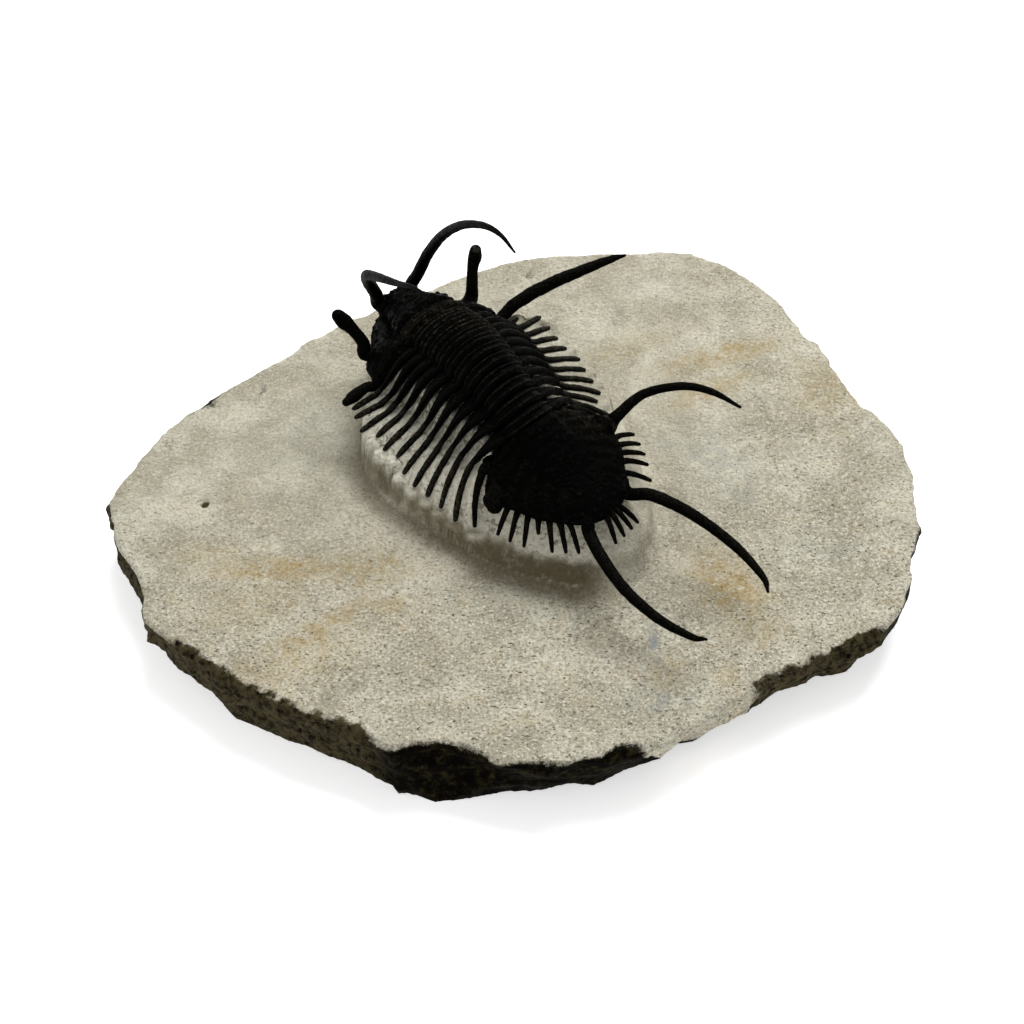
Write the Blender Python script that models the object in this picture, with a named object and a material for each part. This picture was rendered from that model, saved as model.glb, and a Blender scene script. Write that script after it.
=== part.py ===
"""A spiny trilobite on its block of matrix.

The animal lies arched on a raised mound of the stone it was freed from. Its head
points away and to the left, its tail comes forward and to the right. Lengths are
in millimetres in the tables below and become metres when a mesh is made.

Places on the animal are given in a body frame: s runs along its mid line from the
front of the thorax towards the tail, p runs to its right, and z is the height above
the underside of the slab before the body leans a little to its left.
"""
import math

import bmesh
import bpy
from mathutils import Vector
from mathutils.geometry import delaunay_2d_cdt

MM = 0.001
GAP = 0.32
SMALL_STEP = 0.03
SHARP_ANGLE = math.radians(40.0)

# Colours of the finishes
BLACK = (0.012, 0.012, 0.013)
BLACK_BROWN = (0.014, 0.013, 0.012)
STONE = (0.46, 0.42, 0.34)

# The block of matrix
SLAB_THICKNESS = 10.0
SLAB_WAVE = 0.3
SLAB_OUTLINE = (
    (-60.2, -2.0), (-57.9, 2.9), (-53.5, 11.9), (-46.5, 19.2), (-39.7, 25.4), (-32.7, 30.9),
    (-27.1, 35.2), (-20.9, 39.3), (-13.1, 43.6), (-7.0, 47.1), (-1.9, 49.7), (4.5, 51.6),
    (11.1, 52.0), (18.7, 52.3), (24.2, 52.5), (28.7, 52.3), (34.1, 49.7), (37.7, 46.2),
    (42.2, 41.1), (45.3, 35.2), (46.1, 32.3), (47.7, 31.4), (49.4, 27.0), (51.8, 21.7),
    (53.4, 18.3), (55.9, 16.2), (57.8, 13.2), (59.4, 8.8), (60.2, 3.3), (59.7, -2.0),
    (60.3, -7.0), (58.8, -11.9), (58.1, -17.7), (55.7, -23.0), (52.5, -27.6), (48.2, -30.5),
    (43.1, -32.2), (38.7, -34.9), (33.6, -38.1), (30.7, -40.1), (26.1, -43.6), (21.1, -47.1),
    (17.6, -48.5), (12.4, -49.7), (8.8, -50.4), (5.2, -52.4), (1.6, -51.2), (-1.8, -50.7),
    (-5.5, -48.8), (-9.8, -47.8), (-14.5, -48.3), (-16.1, -49.2), (-19.9, -46.6), (-23.8, -44.7),
    (-28.6, -43.3), (-32.9, -41.1), (-37.4, -38.0), (-41.3, -35.6), (-46.0, -31.3), (-50.1, -28.0),
    (-53.1, -25.2), (-53.4, -19.6), (-55.2, -15.7), (-58.1, -10.9), (-59.3, -6.0),
)
# How far the underside stands back from the top edge, by direction in degrees
UNDERCUT = (
    (0, 6.0), (45, 4.0), (90, 3.0), (135, 4.0), (180, 5.0), (200, 3.6), (213, 2.2), (225, 0.8),
    (240, 0.4), (270, 0.6), (290, 2.0), (315, 6.0), (340, 6.5), (360, 6.0),
)

# The animal's mid line: where its thorax starts, its headings and its lean
THORAX_FRONT = (-9.2, 17.3)
HEAD_HEADING = 33.0
TAIL_TURN = 0.0100
TAIL_END = 38.7
MID_LINE_STEPS = 24
LEAN = math.radians(6.0)
LEAN_HEIGHT = 16.0

# Stations of the shell, from the front of the head to the end of the tail:
# station, then s and z on the crest, then s, p and z on the right edge
HEAD_FRONT = -6.0
HEAD_REAR = 0.42
SEGMENTS = 11
TAIL_FRONT = SEGMENTS + 0.58
TAIL_REAR = 18.0
STATIONS = (
    (-6.0, -15.6, 19.8, -15.5, 1.6, 19.0),
    (-5.0, -14.6, 22.2, -14.2, 4.4, 18.8),
    (-4.0, -12.6, 23.6, -12.0, 6.4, 18.9),
    (-3.0, -10.0, 25.0, -9.4, 8.0, 19.2),
    (-2.0, -7.0, 26.8, -6.8, 10.0, 19.6),
    (-1.0, -4.0, 28.6, -4.2, 11.2, 20.6),
    (0.0, -1.2, 30.0, -1.8, 10.8, 21.8),
    (1.0, 0.8, 30.9, -0.2, 10.5, 21.3),
    (2.0, 3.0, 31.8, 1.6, 10.3, 20.9),
    (4.0, 7.4, 32.8, 5.6, 9.9, 21.9),
    (6.0, 11.8, 33.1, 9.8, 9.1, 21.9),
    (8.0, 16.3, 32.3, 13.6, 8.4, 21.8),
    (10.0, 20.8, 30.2, 17.2, 7.7, 22.2),
    (11.0, 23.0, 28.6, 19.2, 7.6, 22.4),
    (12.0, 25.2, 27.0, 21.8, 8.2, 22.4),
    (13.0, 27.4, 25.7, 24.8, 9.5, 22.1),
    (14.0, 29.8, 24.7, 28.2, 10.1, 21.6),
    (15.0, 32.5, 23.8, 32.0, 8.9, 21.2),
    (16.0, 35.2, 23.0, 35.2, 6.7, 20.9),
    (17.0, 37.5, 22.1, 37.8, 4.4, 20.7),
    (18.0, 39.0, 21.2, 39.1, 1.8, 20.5),
)
# The arch across the body: share of the way out, share of the way down
ARCH = ((0.0, 0.0), (0.28, 0.07), (0.44, 0.22), (0.53, 0.37), (0.64, 0.44), (0.80, 0.63), (1.0, 1.0))
ARCH_ENDS = 12.5
ARCH_GONE = 16.5
# The right cheek is pressed in a little, from one station to another with a run at each end
CHEEK_PRESSED = 0.12
CHEEK_PRESSED_FROM = (-5.5, 1.5)
CHEEK_PRESSED_TO = (2.3, 1.8)
SHELL_THICKNESS = 1.1

# Relief of the head: its swollen middle lobe, the ring and furrow behind that, its cheeks
HEAD_STATIONS = (HEAD_FRONT, -5.5, -5.0, -4.3, -3.6, -2.9, -2.2, -1.5, -0.9, -0.5, -0.2, HEAD_REAR)
HEAD_SHARES = (0.14, 0.28, 0.40, 0.50, 0.60, 0.72, 0.86, 1.0)
LOBE_RISE = 0.7
LOBE_HALF_WIDTH = 0.50
LOBE_FRONT = -5.6
LOBE_REAR = -0.7
RING_RISE = 0.35
RING_FRONT = -0.55
FURROW_STATION = -0.9
CHEEK_RISE = 0.5
CHEEK_AT = (-2.1, 0.84)
CHEEK_SPREAD = (0.9, 0.14)

# A thorax segment cut along the body: offsets from its station, with two fine ridges
SEGMENT_PROFILE = ((-0.43, -0.12), (-0.24, 0.30), (-0.02, -0.05), (0.20, 0.34), (0.43, -0.05))
SEGMENT_SHARES = (0.28, 0.44, 0.53, 0.66, 0.82, 1.0)
# The plates grow narrower towards their outer ends
PLATE_NARROWS_FROM = 0.62
PLATE_NARROWING = 0.5

# Side spines of the thorax: the line that their tips keep to, their course and thickness
SPINE_REACH = 16.3
SPINE_REACH_FALL = 0.107
SPINE_REACH_CURVE = 0.0100
SPINE_MIDDLE = 12.0
SPINE_TIP_HEIGHT = 17.7
SPINE_TIP_FALL = 0.133
SPINE_PITCH = 2.41
SPINE_FORWARD = -1.5
SPINE_SWEEP = 1.9
SPINE_BOW = 2.2
SPINE_PLACES = (0.0, 0.2, 0.5, 0.8, 1.0)
SPINE_RADII = (0.48, 0.44, 0.36, 0.18)
SPINE_SINK = 0.45
SPINE_OUTLINE = (
    (-1.0, 0.0), (-0.62, 0.78), (0.0, 1.0), (0.62, 0.78), (1.0, 0.0), (0.55, -0.8), (-0.55, -0.8),
)
LEFT_LENGTHS = (1.0, 1.05, 1.08, 0.88, 0.94, 0.84, 0.96, 0.99, 0.98, 1.0, 1.04, 1.0)
RIGHT_LENGTHS = (0.5, 1.05, 1.0, 0.95, 0.95, 1.08, 1.02, 1.03, 1.04, 0.88, 1.0, 0.95)
LAST_SPINE_BACK = 0.5

# The mound of matrix under the animal: station, s, p and z of its rim, spread of its foot
RIM = (
    (-6.0, -12.4, 3.0, 17.0, 0.8),
    (-4.0, -10.4, 5.4, 17.2, 0.6),
    (-2.0, -6.2, 7.6, 17.4, 0.6),
    (-0.5, -3.4, 10.0, 17.6, 0.8),
    (1.0, -0.9, 13.4, 17.3, 1.4),
    (3.0, 3.2, 16.6, 16.7, 2.4),
    (6.0, 10.6, 17.6, 15.8, 3.2),
    (9.0, 17.4, 16.6, 14.9, 3.0),
    (11.5, 23.8, 15.4, 14.4, 1.8),
    (13.5, 28.8, 13.8, 14.6, 1.6),
    (15.5, 34.2, 11.2, 14.7, 1.6),
    (17.0, 38.8, 8.0, 14.7, 1.8),
    (18.0, 41.4, 4.8, 14.7, 2.0),
)
RIM_BULGE = 1.2
WALL_LEAN = 0.3
WALL_WAIST = 0.35
MOUND_SHARES = (0.28, 0.44, 0.53, 0.66, 0.82, 1.0)
MOUND_HEAD_STATIONS = (HEAD_FRONT, -5.0, -4.0, -3.0, -2.0, -1.0, 0.22)
MOUND_TAIL_STATIONS = (12.2, 13.1, 14.35, 15.6, 16.75, 17.5, TAIL_REAR)
MOUND_DEPTH = SHELL_THICKNESS + GAP + 0.15
MOUND_DEPTH_TAIL = SHELL_THICKNESS + GAP + 0.30
MOUND_CORE = (0.0, 12.0, 26.0)

# The slab's upper side: rings of points inside its edge, and how far its edge stands below it
TOP_RINGS = ((0.985, 1), (0.80, 3), (0.62, 3))
TOP_RING_MARGIN = 2.5
EDGE_FALL = 0.5
# The slab's side: height of each level, its share of the undercut and its roughness
SIDE_LEVELS = ((7.6, -0.10, 0.5), (4.4, 0.25, 0.7), (1.6, 0.72, 0.6), (0.0, 1.0, 0.0))
SIDE_WAVE = 0.35

# Long spines, stalks and horns: where each starts, then its course as
# (outwards, backwards, upwards) from that place, and its radius along the course
TUBE_SIDES = 7
BRANCH_ROOT = 0.9
HORN_AT = (-4.75, 0.44)
HORN_S = -14.0
HORN_CLEARANCE = GAP + 0.25
LEFT_HORN_COURSE = (
    (0.0, 0.0, 0.0), (0.9, 0.2, 3.0), (2.3, 1.4, 7.6), (3.9, 5.0, 13.1),
    (4.6, 10.8, 17.9), (4.9, 16.9, 22.1), (4.9, 22.0, 25.6), (4.7, 26.0, 27.2),
)
RIGHT_HORN_COURSE = (
    (0.0, 0.0, 0.0), (1.6, 0.3, 2.8), (3.1, 1.9, 7.6), (4.2, 5.2, 13.3),
    (4.7, 10.8, 19.7), (5.1, 16.9, 24.4), (5.1, 22.0, 26.6), (4.7, 26.4, 26.9),
)
HORN_RADII = (0.95, 0.78, 0.70, 0.66, 0.58, 0.44, 0.28, 0.10)
STALK_AT = (-1.85, 0.87)
STALK_S = -8.0
STALK_CLEARANCE = GAP + 0.5
LEFT_STALK_COURSE = ((0.0, 0.0, 0.0), (0.4, -0.8, 2.2), (1.1, -2.0, 4.5), (1.9, -2.8, 6.2), (2.5, -3.2, 7.5))
LEFT_STALK_RADII = (1.05, 0.92, 0.88, 1.15, 0.95)
RIGHT_STALK_COURSE = ((0.0, 0.0, 0.0), (1.2, -0.8, 2.2), (2.3, -2.0, 4.2), (3.3, -2.8, 5.6), (3.8, -3.2, 6.7))
RIGHT_STALK_RADII = (0.98, 0.76, 0.70, 0.92, 0.76)
GENAL_STATION = -0.4
GENAL_COURSE = (
    (0.0, 0.0, 0.0), (4.4, 0.2, 1.1), (9.4, 0.8, 1.8),
    (15.0, 2.0, 2.5), (19.7, 3.2, 3.0), (22.1, 3.9, 3.0),
)
GENAL_RADII = (0.90, 0.86, 0.84, 0.66, 0.42, 0.12)
GENAL_STUB_COURSE = ((0.0, 0.0, 0.0), (2.2, 0.1, 0.1), (4.6, 0.3, -0.1), (6.0, 0.5, -0.2))
GENAL_STUB_RADII = (0.88, 0.84, 0.92, 0.62)
FRONT_SPINE_STATION = 13.7
FRONT_SPINE_COURSE = (
    (0.0, 0.0, 0.0), (2.3, 0.2, 0.9), (7.1, 0.7, 2.2),
    (11.4, 4.4, 3.5), (13.9, 8.1, 3.2), (15.6, 12.1, 1.8),
)
FRONT_SPINE_RADII = (1.35, 0.88, 0.68, 0.60, 0.48, 0.18)
STUMP_STATION = 13.25
STUMP_COURSE = ((0.0, 0.0, 0.0), (1.4, 0.1, 0.0), (2.1, 0.2, -0.4))
STUMP_RADII = (1.0, 1.05, 0.75)
REAR_SPINE_STATION = 17.1
LEFT_REAR_SPINE_COURSE = (
    (0.0, 0.0, 0.0), (2.1, 4.0, -1.1), (3.8, 10.0, -2.3),
    (4.2, 16.6, -3.2), (3.2, 21.8, -4.0), (2.0, 23.6, -4.4),
)
RIGHT_REAR_SPINE_COURSE = (
    (0.0, 0.0, 0.0), (1.7, 4.0, 0.5), (3.4, 10.0, -0.9),
    (4.2, 16.8, -3.1), (3.1, 22.8, -4.1), (1.7, 25.0, -4.5),
)
REAR_SPINE_RADII = (0.9, 0.9, 0.84, 0.70, 0.48, 0.14)

# The tail: stations in front of, along and behind its row of small side spines
TAIL_FIRST_STATIONS = (TAIL_FRONT, 12.2, 12.8, 13.4)
TAIL_LAST_STATIONS = (17.35, 17.7, TAIL_REAR)
TAIL_SHARES = (0.18, 0.36, 0.53, 0.70, 0.86, 1.0)
EDGE_SPINES_FROM = 13.95
EDGE_SPINES_TO = 16.62
EDGE_RUNS = 14
LEFT_EDGE_SPINES = (0, 2, 4, 6, 8, 10, 12)
RIGHT_EDGE_SPINES = (2, 4, 6, 8, 11)
REAR_SPINE_COLUMNS = (1, 4, 7, 10)

# Relief of the tail: its short middle lobe and the ribs that run out from it
TAIL_LOBE_RISE = 1.1
TAIL_LOBE_HALF_WIDTH = 0.45
TAIL_LOBE_STATION = 12.4
TAIL_LOBE_LENGTH = 2.6
RIB_RISE = 0.22
RIB_PITCH = 1.1
RIBS_STATION = 13.0
RIBS_LENGTH = 2.5

# Small spines round the edge of the tail, one of them broken short
EDGE_SPINE_LENGTH = 3.3
EDGE_SPINE_LENGTH_RIGHT = 4.1
EDGE_SPINE_DROP = 2.5
EDGE_SPINE_TURN = (0.45, 0.15, 0.50)
BROKEN_EDGE_SPINE = 6
BROKEN_SHARE = 0.5


def smooth(keys, t):
    """Value at t of a smooth curve through keys, whose first number is the place."""
    k = 0
    while k < len(keys) - 2 and t > keys[k + 1][0]:
        k += 1
    before, a, b, after = (keys[min(max(j, 0), len(keys) - 1)] for j in (k - 1, k, k + 1, k + 2))
    span = b[0] - a[0]
    w = (t - a[0]) / span
    values = []
    for v0, v1, v2, v3 in zip(before[1:], a[1:], b[1:], after[1:]):
        slope_a = (v2 - v0) / max(b[0] - before[0], 1e-6) * span
        slope_b = (v3 - v1) / max(after[0] - a[0], 1e-6) * span
        values.append(
            (2 * w**3 - 3 * w**2 + 1) * v1 + (w**3 - 2 * w**2 + w) * slope_a
            + (3 * w**2 - 2 * w**3) * v2 + (w**3 - w**2) * slope_b
        )
    return values


def straight(keys, t):
    """Value at t of straight runs between keys of (place, value)."""
    for (t0, v0), (t1, v1) in zip(keys, keys[1:]):
        if t <= t1:
            return v0 + (v1 - v0) * (t - t0) / (t1 - t0)
    return keys[-1][1]


def heading(s):
    """Direction of the tail at s, from straight forward towards the right."""
    return math.radians(HEAD_HEADING + TAIL_TURN * min(max(s, 0.0), TAIL_END) ** 2)


def mid_line(s):
    """Point of the animal's mid line in plan."""
    x, y = THORAX_FRONT
    for k in range(MID_LINE_STEPS):
        angle = heading(s * (k + 0.5) / MID_LINE_STEPS)
        x += math.sin(angle) * s / MID_LINE_STEPS
        y -= math.cos(angle) * s / MID_LINE_STEPS
    return x, y


def body_axes(s):
    """Directions outwards to the right, back and up at s."""
    angle = heading(s)
    side = Vector((math.cos(angle), math.sin(angle), 0.0))
    up = Vector((0.0, 0.0, 1.0))
    return (
        side * math.cos(LEAN) + up * math.sin(LEAN),
        Vector((math.sin(angle), -math.cos(angle), 0.0)),
        up * math.cos(LEAN) - side * math.sin(LEAN),
    )


def body(s, p, z):
    """Place in the world of a point of the body frame."""
    out, _, up = body_axes(s)
    x, y = mid_line(s)
    return Vector((x, y, LEAN_HEIGHT)) + out * p + up * (z - LEAN_HEIGHT)


def pressed(u):
    """How far the right cheek is pressed in at station u, as a share of its width."""
    first, first_run = CHEEK_PRESSED_FROM
    last, last_run = CHEEK_PRESSED_TO
    start = min(max((u - first) / first_run, 0.0), 1.0)
    end = min(max((last - u) / last_run, 0.0), 1.0)
    return CHEEK_PRESSED * start * end


def shell_point(u, v):
    """Point of the shell's upper side at station u, v from -1 on the left to 1 on the right."""
    crest_s, crest_z, edge_s, edge_p, edge_z = smooth(STATIONS, u)
    out = abs(v)
    arched = straight(ARCH, out)
    flat = min(max((u - ARCH_ENDS) / (ARCH_GONE - ARCH_ENDS), 0.0), 1.0)
    drop = arched * (1.0 - flat) + out**2 * flat
    return body(
        crest_s + (edge_s - crest_s) * drop,
        v * edge_p * (1.0 - pressed(u) * (v > 0.0)),
        crest_z + (edge_z - crest_z) * drop,
    )


def shell_normal(u, v):
    """Direction straight out of the shell at station u and v."""
    du = shell_point(u + SMALL_STEP, v) - shell_point(u - SMALL_STEP, v)
    dv = shell_point(u, v + SMALL_STEP) - shell_point(u, v - SMALL_STEP)
    return du.cross(dv).normalized()


def new_material(name, colour, roughness):
    """Plain surface of one colour."""
    material = bpy.data.materials.new(name)
    material.use_nodes = True
    shader = material.node_tree.nodes["Principled BSDF"]
    shader.inputs["Base Color"].default_value = (*colour, 1.0)
    shader.inputs["Roughness"].default_value = roughness
    shader.inputs["Metallic"].default_value = 0.0
    return material


def new_object(name, bm, origin, parent, colour, roughness):
    """One sub-part from a mesh in millimetres, with its origin at a chosen place."""
    bmesh.ops.triangulate(bm, faces=bm.faces)
    bmesh.ops.recalc_face_normals(bm, faces=bm.faces)
    for vert in bm.verts:
        vert.co = (vert.co - origin) * MM
    mesh = bpy.data.meshes.new(name)
    bm.to_mesh(mesh)
    bm.free()
    mesh.shade_smooth()
    mesh.set_sharp_from_angle(angle=SHARP_ANGLE)
    mesh.materials.append(new_material(name + "_finish", colour, roughness))
    piece = bpy.data.objects.new(name, mesh)
    bpy.context.scene.collection.objects.link(piece)
    piece.parent = parent
    piece.location = origin * MM - (parent.location if parent else Vector())
    return piece


def skin(bm, rings):
    """Quads between rings of equal length, with both ends filled."""
    rows = [[bm.verts.new(point) for point in ring] for ring in rings]
    for a, b in zip(rows, rows[1:]):
        for k in range(len(a)):
            n = (k + 1) % len(a)
            bm.faces.new((a[k], a[n], b[n], b[k]))
    bm.faces.new(rows[0])
    bm.faces.new(rows[-1])


def tube(course, radii, sections):
    """Tapered round piece along a smooth course."""
    path_keys = [(k, *point, radius) for k, (point, radius) in enumerate(zip(course, radii))]
    samples = [smooth(path_keys, k * (len(course) - 1) / sections) for k in range(sections + 1)]
    points = [Vector(sample[:3]) for sample in samples]
    bm = bmesh.new()
    rings = []
    across = (points[1] - points[0]).orthogonal().normalized()
    for k, sample in enumerate(samples):
        along = (points[min(k + 1, sections)] - points[max(k - 1, 0)]).normalized()
        across = (across - along * across.dot(along)).normalized()
        third = along.cross(across)
        ring = []
        for j in range(TUBE_SIDES):
            turn = 2 * math.pi * j / TUBE_SIDES
            ring.append(points[k] + (across * math.cos(turn) + third * math.sin(turn)) * sample[3])
        rings.append(ring)
    skin(bm, rings)
    return bm


def course_from(place, s, side, course):
    """A course of (out, back, up) steps turned into places in the world."""
    out, back, up = body_axes(s)
    return [place + out * (side * a) + back * b + up * c for a, b, c in course]


def shell_plate(u_stations, v_stations):
    """Closed plate of the shell between the first and last station, with its faces by name."""
    bm = bmesh.new()
    grids = []
    for depth in (0.0, SHELL_THICKNESS):
        grid = []
        for u in u_stations:
            grid.append([bm.verts.new(shell_point(u, v) - shell_normal(u, v) * depth) for v in v_stations])
        grids.append(grid)
    top, under = grids
    rows, columns = len(u_stations), len(v_stations)
    for i in range(rows - 1):
        for j in range(columns - 1):
            for grid in grids:
                bm.faces.new((grid[i][j], grid[i + 1][j], grid[i + 1][j + 1], grid[i][j + 1]))
    walls = {}
    for i in range(rows - 1):
        for name, j in (("left", 0), ("right", columns - 1)):
            walls[name, i] = bm.faces.new((top[i][j], top[i + 1][j], under[i + 1][j], under[i][j]))
    for j in range(columns - 1):
        for name, i in (("front", 0), ("rear", rows - 1)):
            walls[name, j] = bm.faces.new((top[i][j], top[i][j + 1], under[i][j + 1], under[i][j]))
    return bm, top, walls


def both_sides(shares):
    """Shares of the way out to the right, with the same to the left and the middle."""
    return [-share for share in reversed(shares)] + [0.0] + list(shares)


def head_relief(u, v):
    """How far the head stands proud of the plain shell at station u and v."""
    along = (u - LOBE_FRONT) / (LOBE_REAR - LOBE_FRONT)
    lobe = max(1.0 - (v / LOBE_HALF_WIDTH) ** 2, 0.0) * math.sin(math.pi * min(max(along, 0.0), 1.0))
    ring = RING_RISE if u > RING_FRONT else 0.0
    furrow = -RING_RISE if u == FURROW_STATION else 0.0
    u_off = (u - CHEEK_AT[0]) / CHEEK_SPREAD[0]
    v_off = (abs(v) - CHEEK_AT[1]) / CHEEK_SPREAD[1]
    return LOBE_RISE * lobe + ring + furrow + CHEEK_RISE * math.exp(-(u_off**2) - v_off**2)


def build_head(parent):
    """The head shield, with a swollen middle lobe and a ring at its rear."""
    shares = both_sides(HEAD_SHARES)
    bm, top, _ = shell_plate(HEAD_STATIONS, shares)
    for i, u in enumerate(HEAD_STATIONS):
        for j, v in enumerate(shares):
            top[i][j].co += shell_normal(u, v) * head_relief(u, v)
    return new_object("cephalon", bm, shell_point(-3.0, 0.0), parent, BLACK, 0.42)


def side_spine(index, side):
    """Course of one side spine, from the edge of its segment to its tip."""
    _, _, edge_s, edge_p, edge_z = smooth(STATIONS, index)
    if side > 0:
        edge_p *= 1.0 - pressed(index)
    s_tip = max((index - 2) * SPINE_PITCH, SPINE_FORWARD)
    if index > SEGMENTS:
        s_tip += LAST_SPINE_BACK
    behind = s_tip - SPINE_MIDDLE
    reach = SPINE_REACH - SPINE_REACH_FALL * behind - SPINE_REACH_CURVE * behind**2
    z_tip = SPINE_TIP_HEIGHT - SPINE_TIP_FALL * behind
    length = (LEFT_LENGTHS if side < 0 else RIGHT_LENGTHS)[index - 1]
    places = []
    for share in SPINE_PLACES:
        t = share * length
        places.append(body(
            edge_s + (s_tip - edge_s) * t**SPINE_SWEEP,
            side * (edge_p + (reach - edge_p) * t),
            edge_z + (z_tip - edge_z) * t + SPINE_BOW * t * (1.0 - t),
        ))
    return places


def segment_ring(index, v):
    """Closed outline of one thorax segment cut at v: two fine ridges above, flat below."""
    ring = []
    outer = max(abs(v) - PLATE_NARROWS_FROM, 0.0) / (1.0 - PLATE_NARROWS_FROM)
    width = 1.0 - PLATE_NARROWING * outer
    for offset, height in SEGMENT_PROFILE:
        u = index + offset * width
        ring.append(shell_point(u, v) + shell_normal(u, v) * height)
    for offset, _ in (SEGMENT_PROFILE[-1], SEGMENT_PROFILE[0]):
        u = index + offset * width
        ring.append(shell_point(u, v) - shell_normal(u, v) * SHELL_THICKNESS)
    return ring


def spine_rings(places, back):
    """Round outlines of a side spine from root to tip, in step with its segment's outline."""
    rings = []
    for k, radius in enumerate(SPINE_RADII, start=1):
        along = (places[min(k + 1, len(places) - 1)] - places[k - 1]).normalized()
        width = (back - along * back.dot(along)).normalized()
        rise = width.cross(along)
        rise *= math.copysign(1.0, rise.z)
        centre = places[k] - Vector((0.0, 0.0, SPINE_SINK))
        rings.append([centre + (width * a + rise * b) * radius for a, b in SPINE_OUTLINE])
    return rings


def build_segment(index, parent):
    """One thorax segment with the two side spines that grow from it."""
    _, back, _ = body_axes((index - 2) * SPINE_PITCH)
    rings = spine_rings(side_spine(index, -1.0), back)[::-1]
    rings += [segment_ring(index, v) for v in both_sides(SEGMENT_SHARES)]
    rings += spine_rings(side_spine(index, 1.0), back)
    bm = bmesh.new()
    skin(bm, rings)
    return new_object(f"thorax_segment_{index:02d}", bm, shell_point(index, 0.0), parent, BLACK_BROWN, 0.45)


def draw_out(bm, face, places, shares):
    """Draw one face out through places in turn, each time to a share of its size."""
    for place, share in zip(places, shares):
        face = bmesh.ops.extrude_discrete_faces(bm, faces=[face])["faces"][0]
        centre = face.calc_center_median()
        for vert in face.verts:
            vert.co = place + (vert.co - centre) * share


def grow_edge_spine(bm, face, length, outward, share_left=1.0):
    """A small spine drawn out of one face of the tail's edge, falling as it goes."""
    start = face.calc_center_median()
    reach = outward * (length * share_left)
    fall = Vector((0.0, 0.0, -EDGE_SPINE_DROP * share_left))
    places = [start + reach * share + fall * share**1.5 for share in (0.35, 0.75, 1.0)]
    draw_out(bm, face, places, (0.62, 0.75, 0.45))


def tail_relief(u, v):
    """How far the tail stands proud of the plain shell at station u and v."""
    along = max(1.0 - ((u - TAIL_LOBE_STATION) / TAIL_LOBE_LENGTH) ** 2, 0.0)
    lobe = max(1.0 - (v / TAIL_LOBE_HALF_WIDTH) ** 2, 0.0) * along
    fade = max(1.0 - ((u - RIBS_STATION) / RIBS_LENGTH) ** 2, 0.0) * (1.0 - v**2)
    rib = math.cos(2.0 * math.pi * (u - TAIL_FRONT) / RIB_PITCH)
    return TAIL_LOBE_RISE * lobe + RIB_RISE * rib * fade


def grow_side_row(bm, walls, first, stations, side, name):
    """The row of small spines along one side of the tail."""
    for run in LEFT_EDGE_SPINES if side < 0 else RIGHT_EDGE_SPINES:
        wall = first + run
        u = 0.5 * (stations[wall] + stations[wall + 1])
        out, back, _ = body_axes(smooth(STATIONS, u)[2])
        splay = run / EDGE_RUNS
        narrowing, back_start, back_turn = EDGE_SPINE_TURN
        outward = out * (side * (1.0 - narrowing * splay)) + back * (back_start + back_turn * splay)
        length = EDGE_SPINE_LENGTH if side < 0 else EDGE_SPINE_LENGTH_RIGHT
        share_left = BROKEN_SHARE if (side < 0 and run == BROKEN_EDGE_SPINE) else 1.0
        grow_edge_spine(bm, walls[name, wall], length, outward.normalized(), share_left)


def build_tail(parent):
    """The tail shield, with its first long side spines and the small ones round its edge."""
    shares = both_sides(TAIL_SHARES)
    step = (EDGE_SPINES_TO - EDGE_SPINES_FROM) / EDGE_RUNS
    stations = list(TAIL_FIRST_STATIONS)
    stations += [EDGE_SPINES_FROM + step * k for k in range(EDGE_RUNS + 1)]
    stations += TAIL_LAST_STATIONS
    bm, top, walls = shell_plate(stations, shares)
    for i, u in enumerate(stations):
        for j, v in enumerate(shares):
            top[i][j].co += shell_normal(u, v) * tail_relief(u, v)
    for side, name in ((-1.0, "left"), (1.0, "right")):
        grow_side_row(bm, walls, len(TAIL_FIRST_STATIONS), stations, side, name)
        draw_out(bm, walls[name, 0], side_spine(SEGMENTS + 1, side)[1:], (0.50, 0.75, 0.72, 0.40))
    out, back, _ = body_axes(TAIL_END)
    for column in REAR_SPINE_COLUMNS:
        v = 0.5 * (shares[column] + shares[column + 1])
        grow_edge_spine(bm, walls["rear", column], EDGE_SPINE_LENGTH, (back + out * (0.5 * v)).normalized())
    return new_object("pygidium", bm, shell_point(14.0, 0.0), parent, BLACK, 0.40)


def surface_base(u, v, clearance):
    """A starting place just clear of the shell's upper side, with the direction out of it."""
    normal = shell_normal(u, v)
    return shell_point(u, v) + normal * clearance, normal


def edge_base(u, side):
    """A starting place just clear of the shell's edge wall, with the direction out and its s."""
    normal = shell_normal(u, side)
    along = shell_point(u + SMALL_STEP, side) - shell_point(u - SMALL_STEP, side)
    outward = (normal.cross(along) * side).normalized()
    edge = shell_point(u, side) - normal * (0.5 * SHELL_THICKNESS)
    return edge + outward * GAP, outward, smooth(STATIONS, u)[2]


def build_branch(name, parent, base, s, side, form, sections):
    """A horn, stalk or long spine that starts square to the face it grows from."""
    (start, direction), (course, radii) = base, form
    points = course_from(start, s, side, course)
    points.insert(1, start + direction * BRANCH_ROOT)
    return new_object(name, tube(points, (radii[0], *radii), sections), start, parent, BLACK, 0.38)


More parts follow.
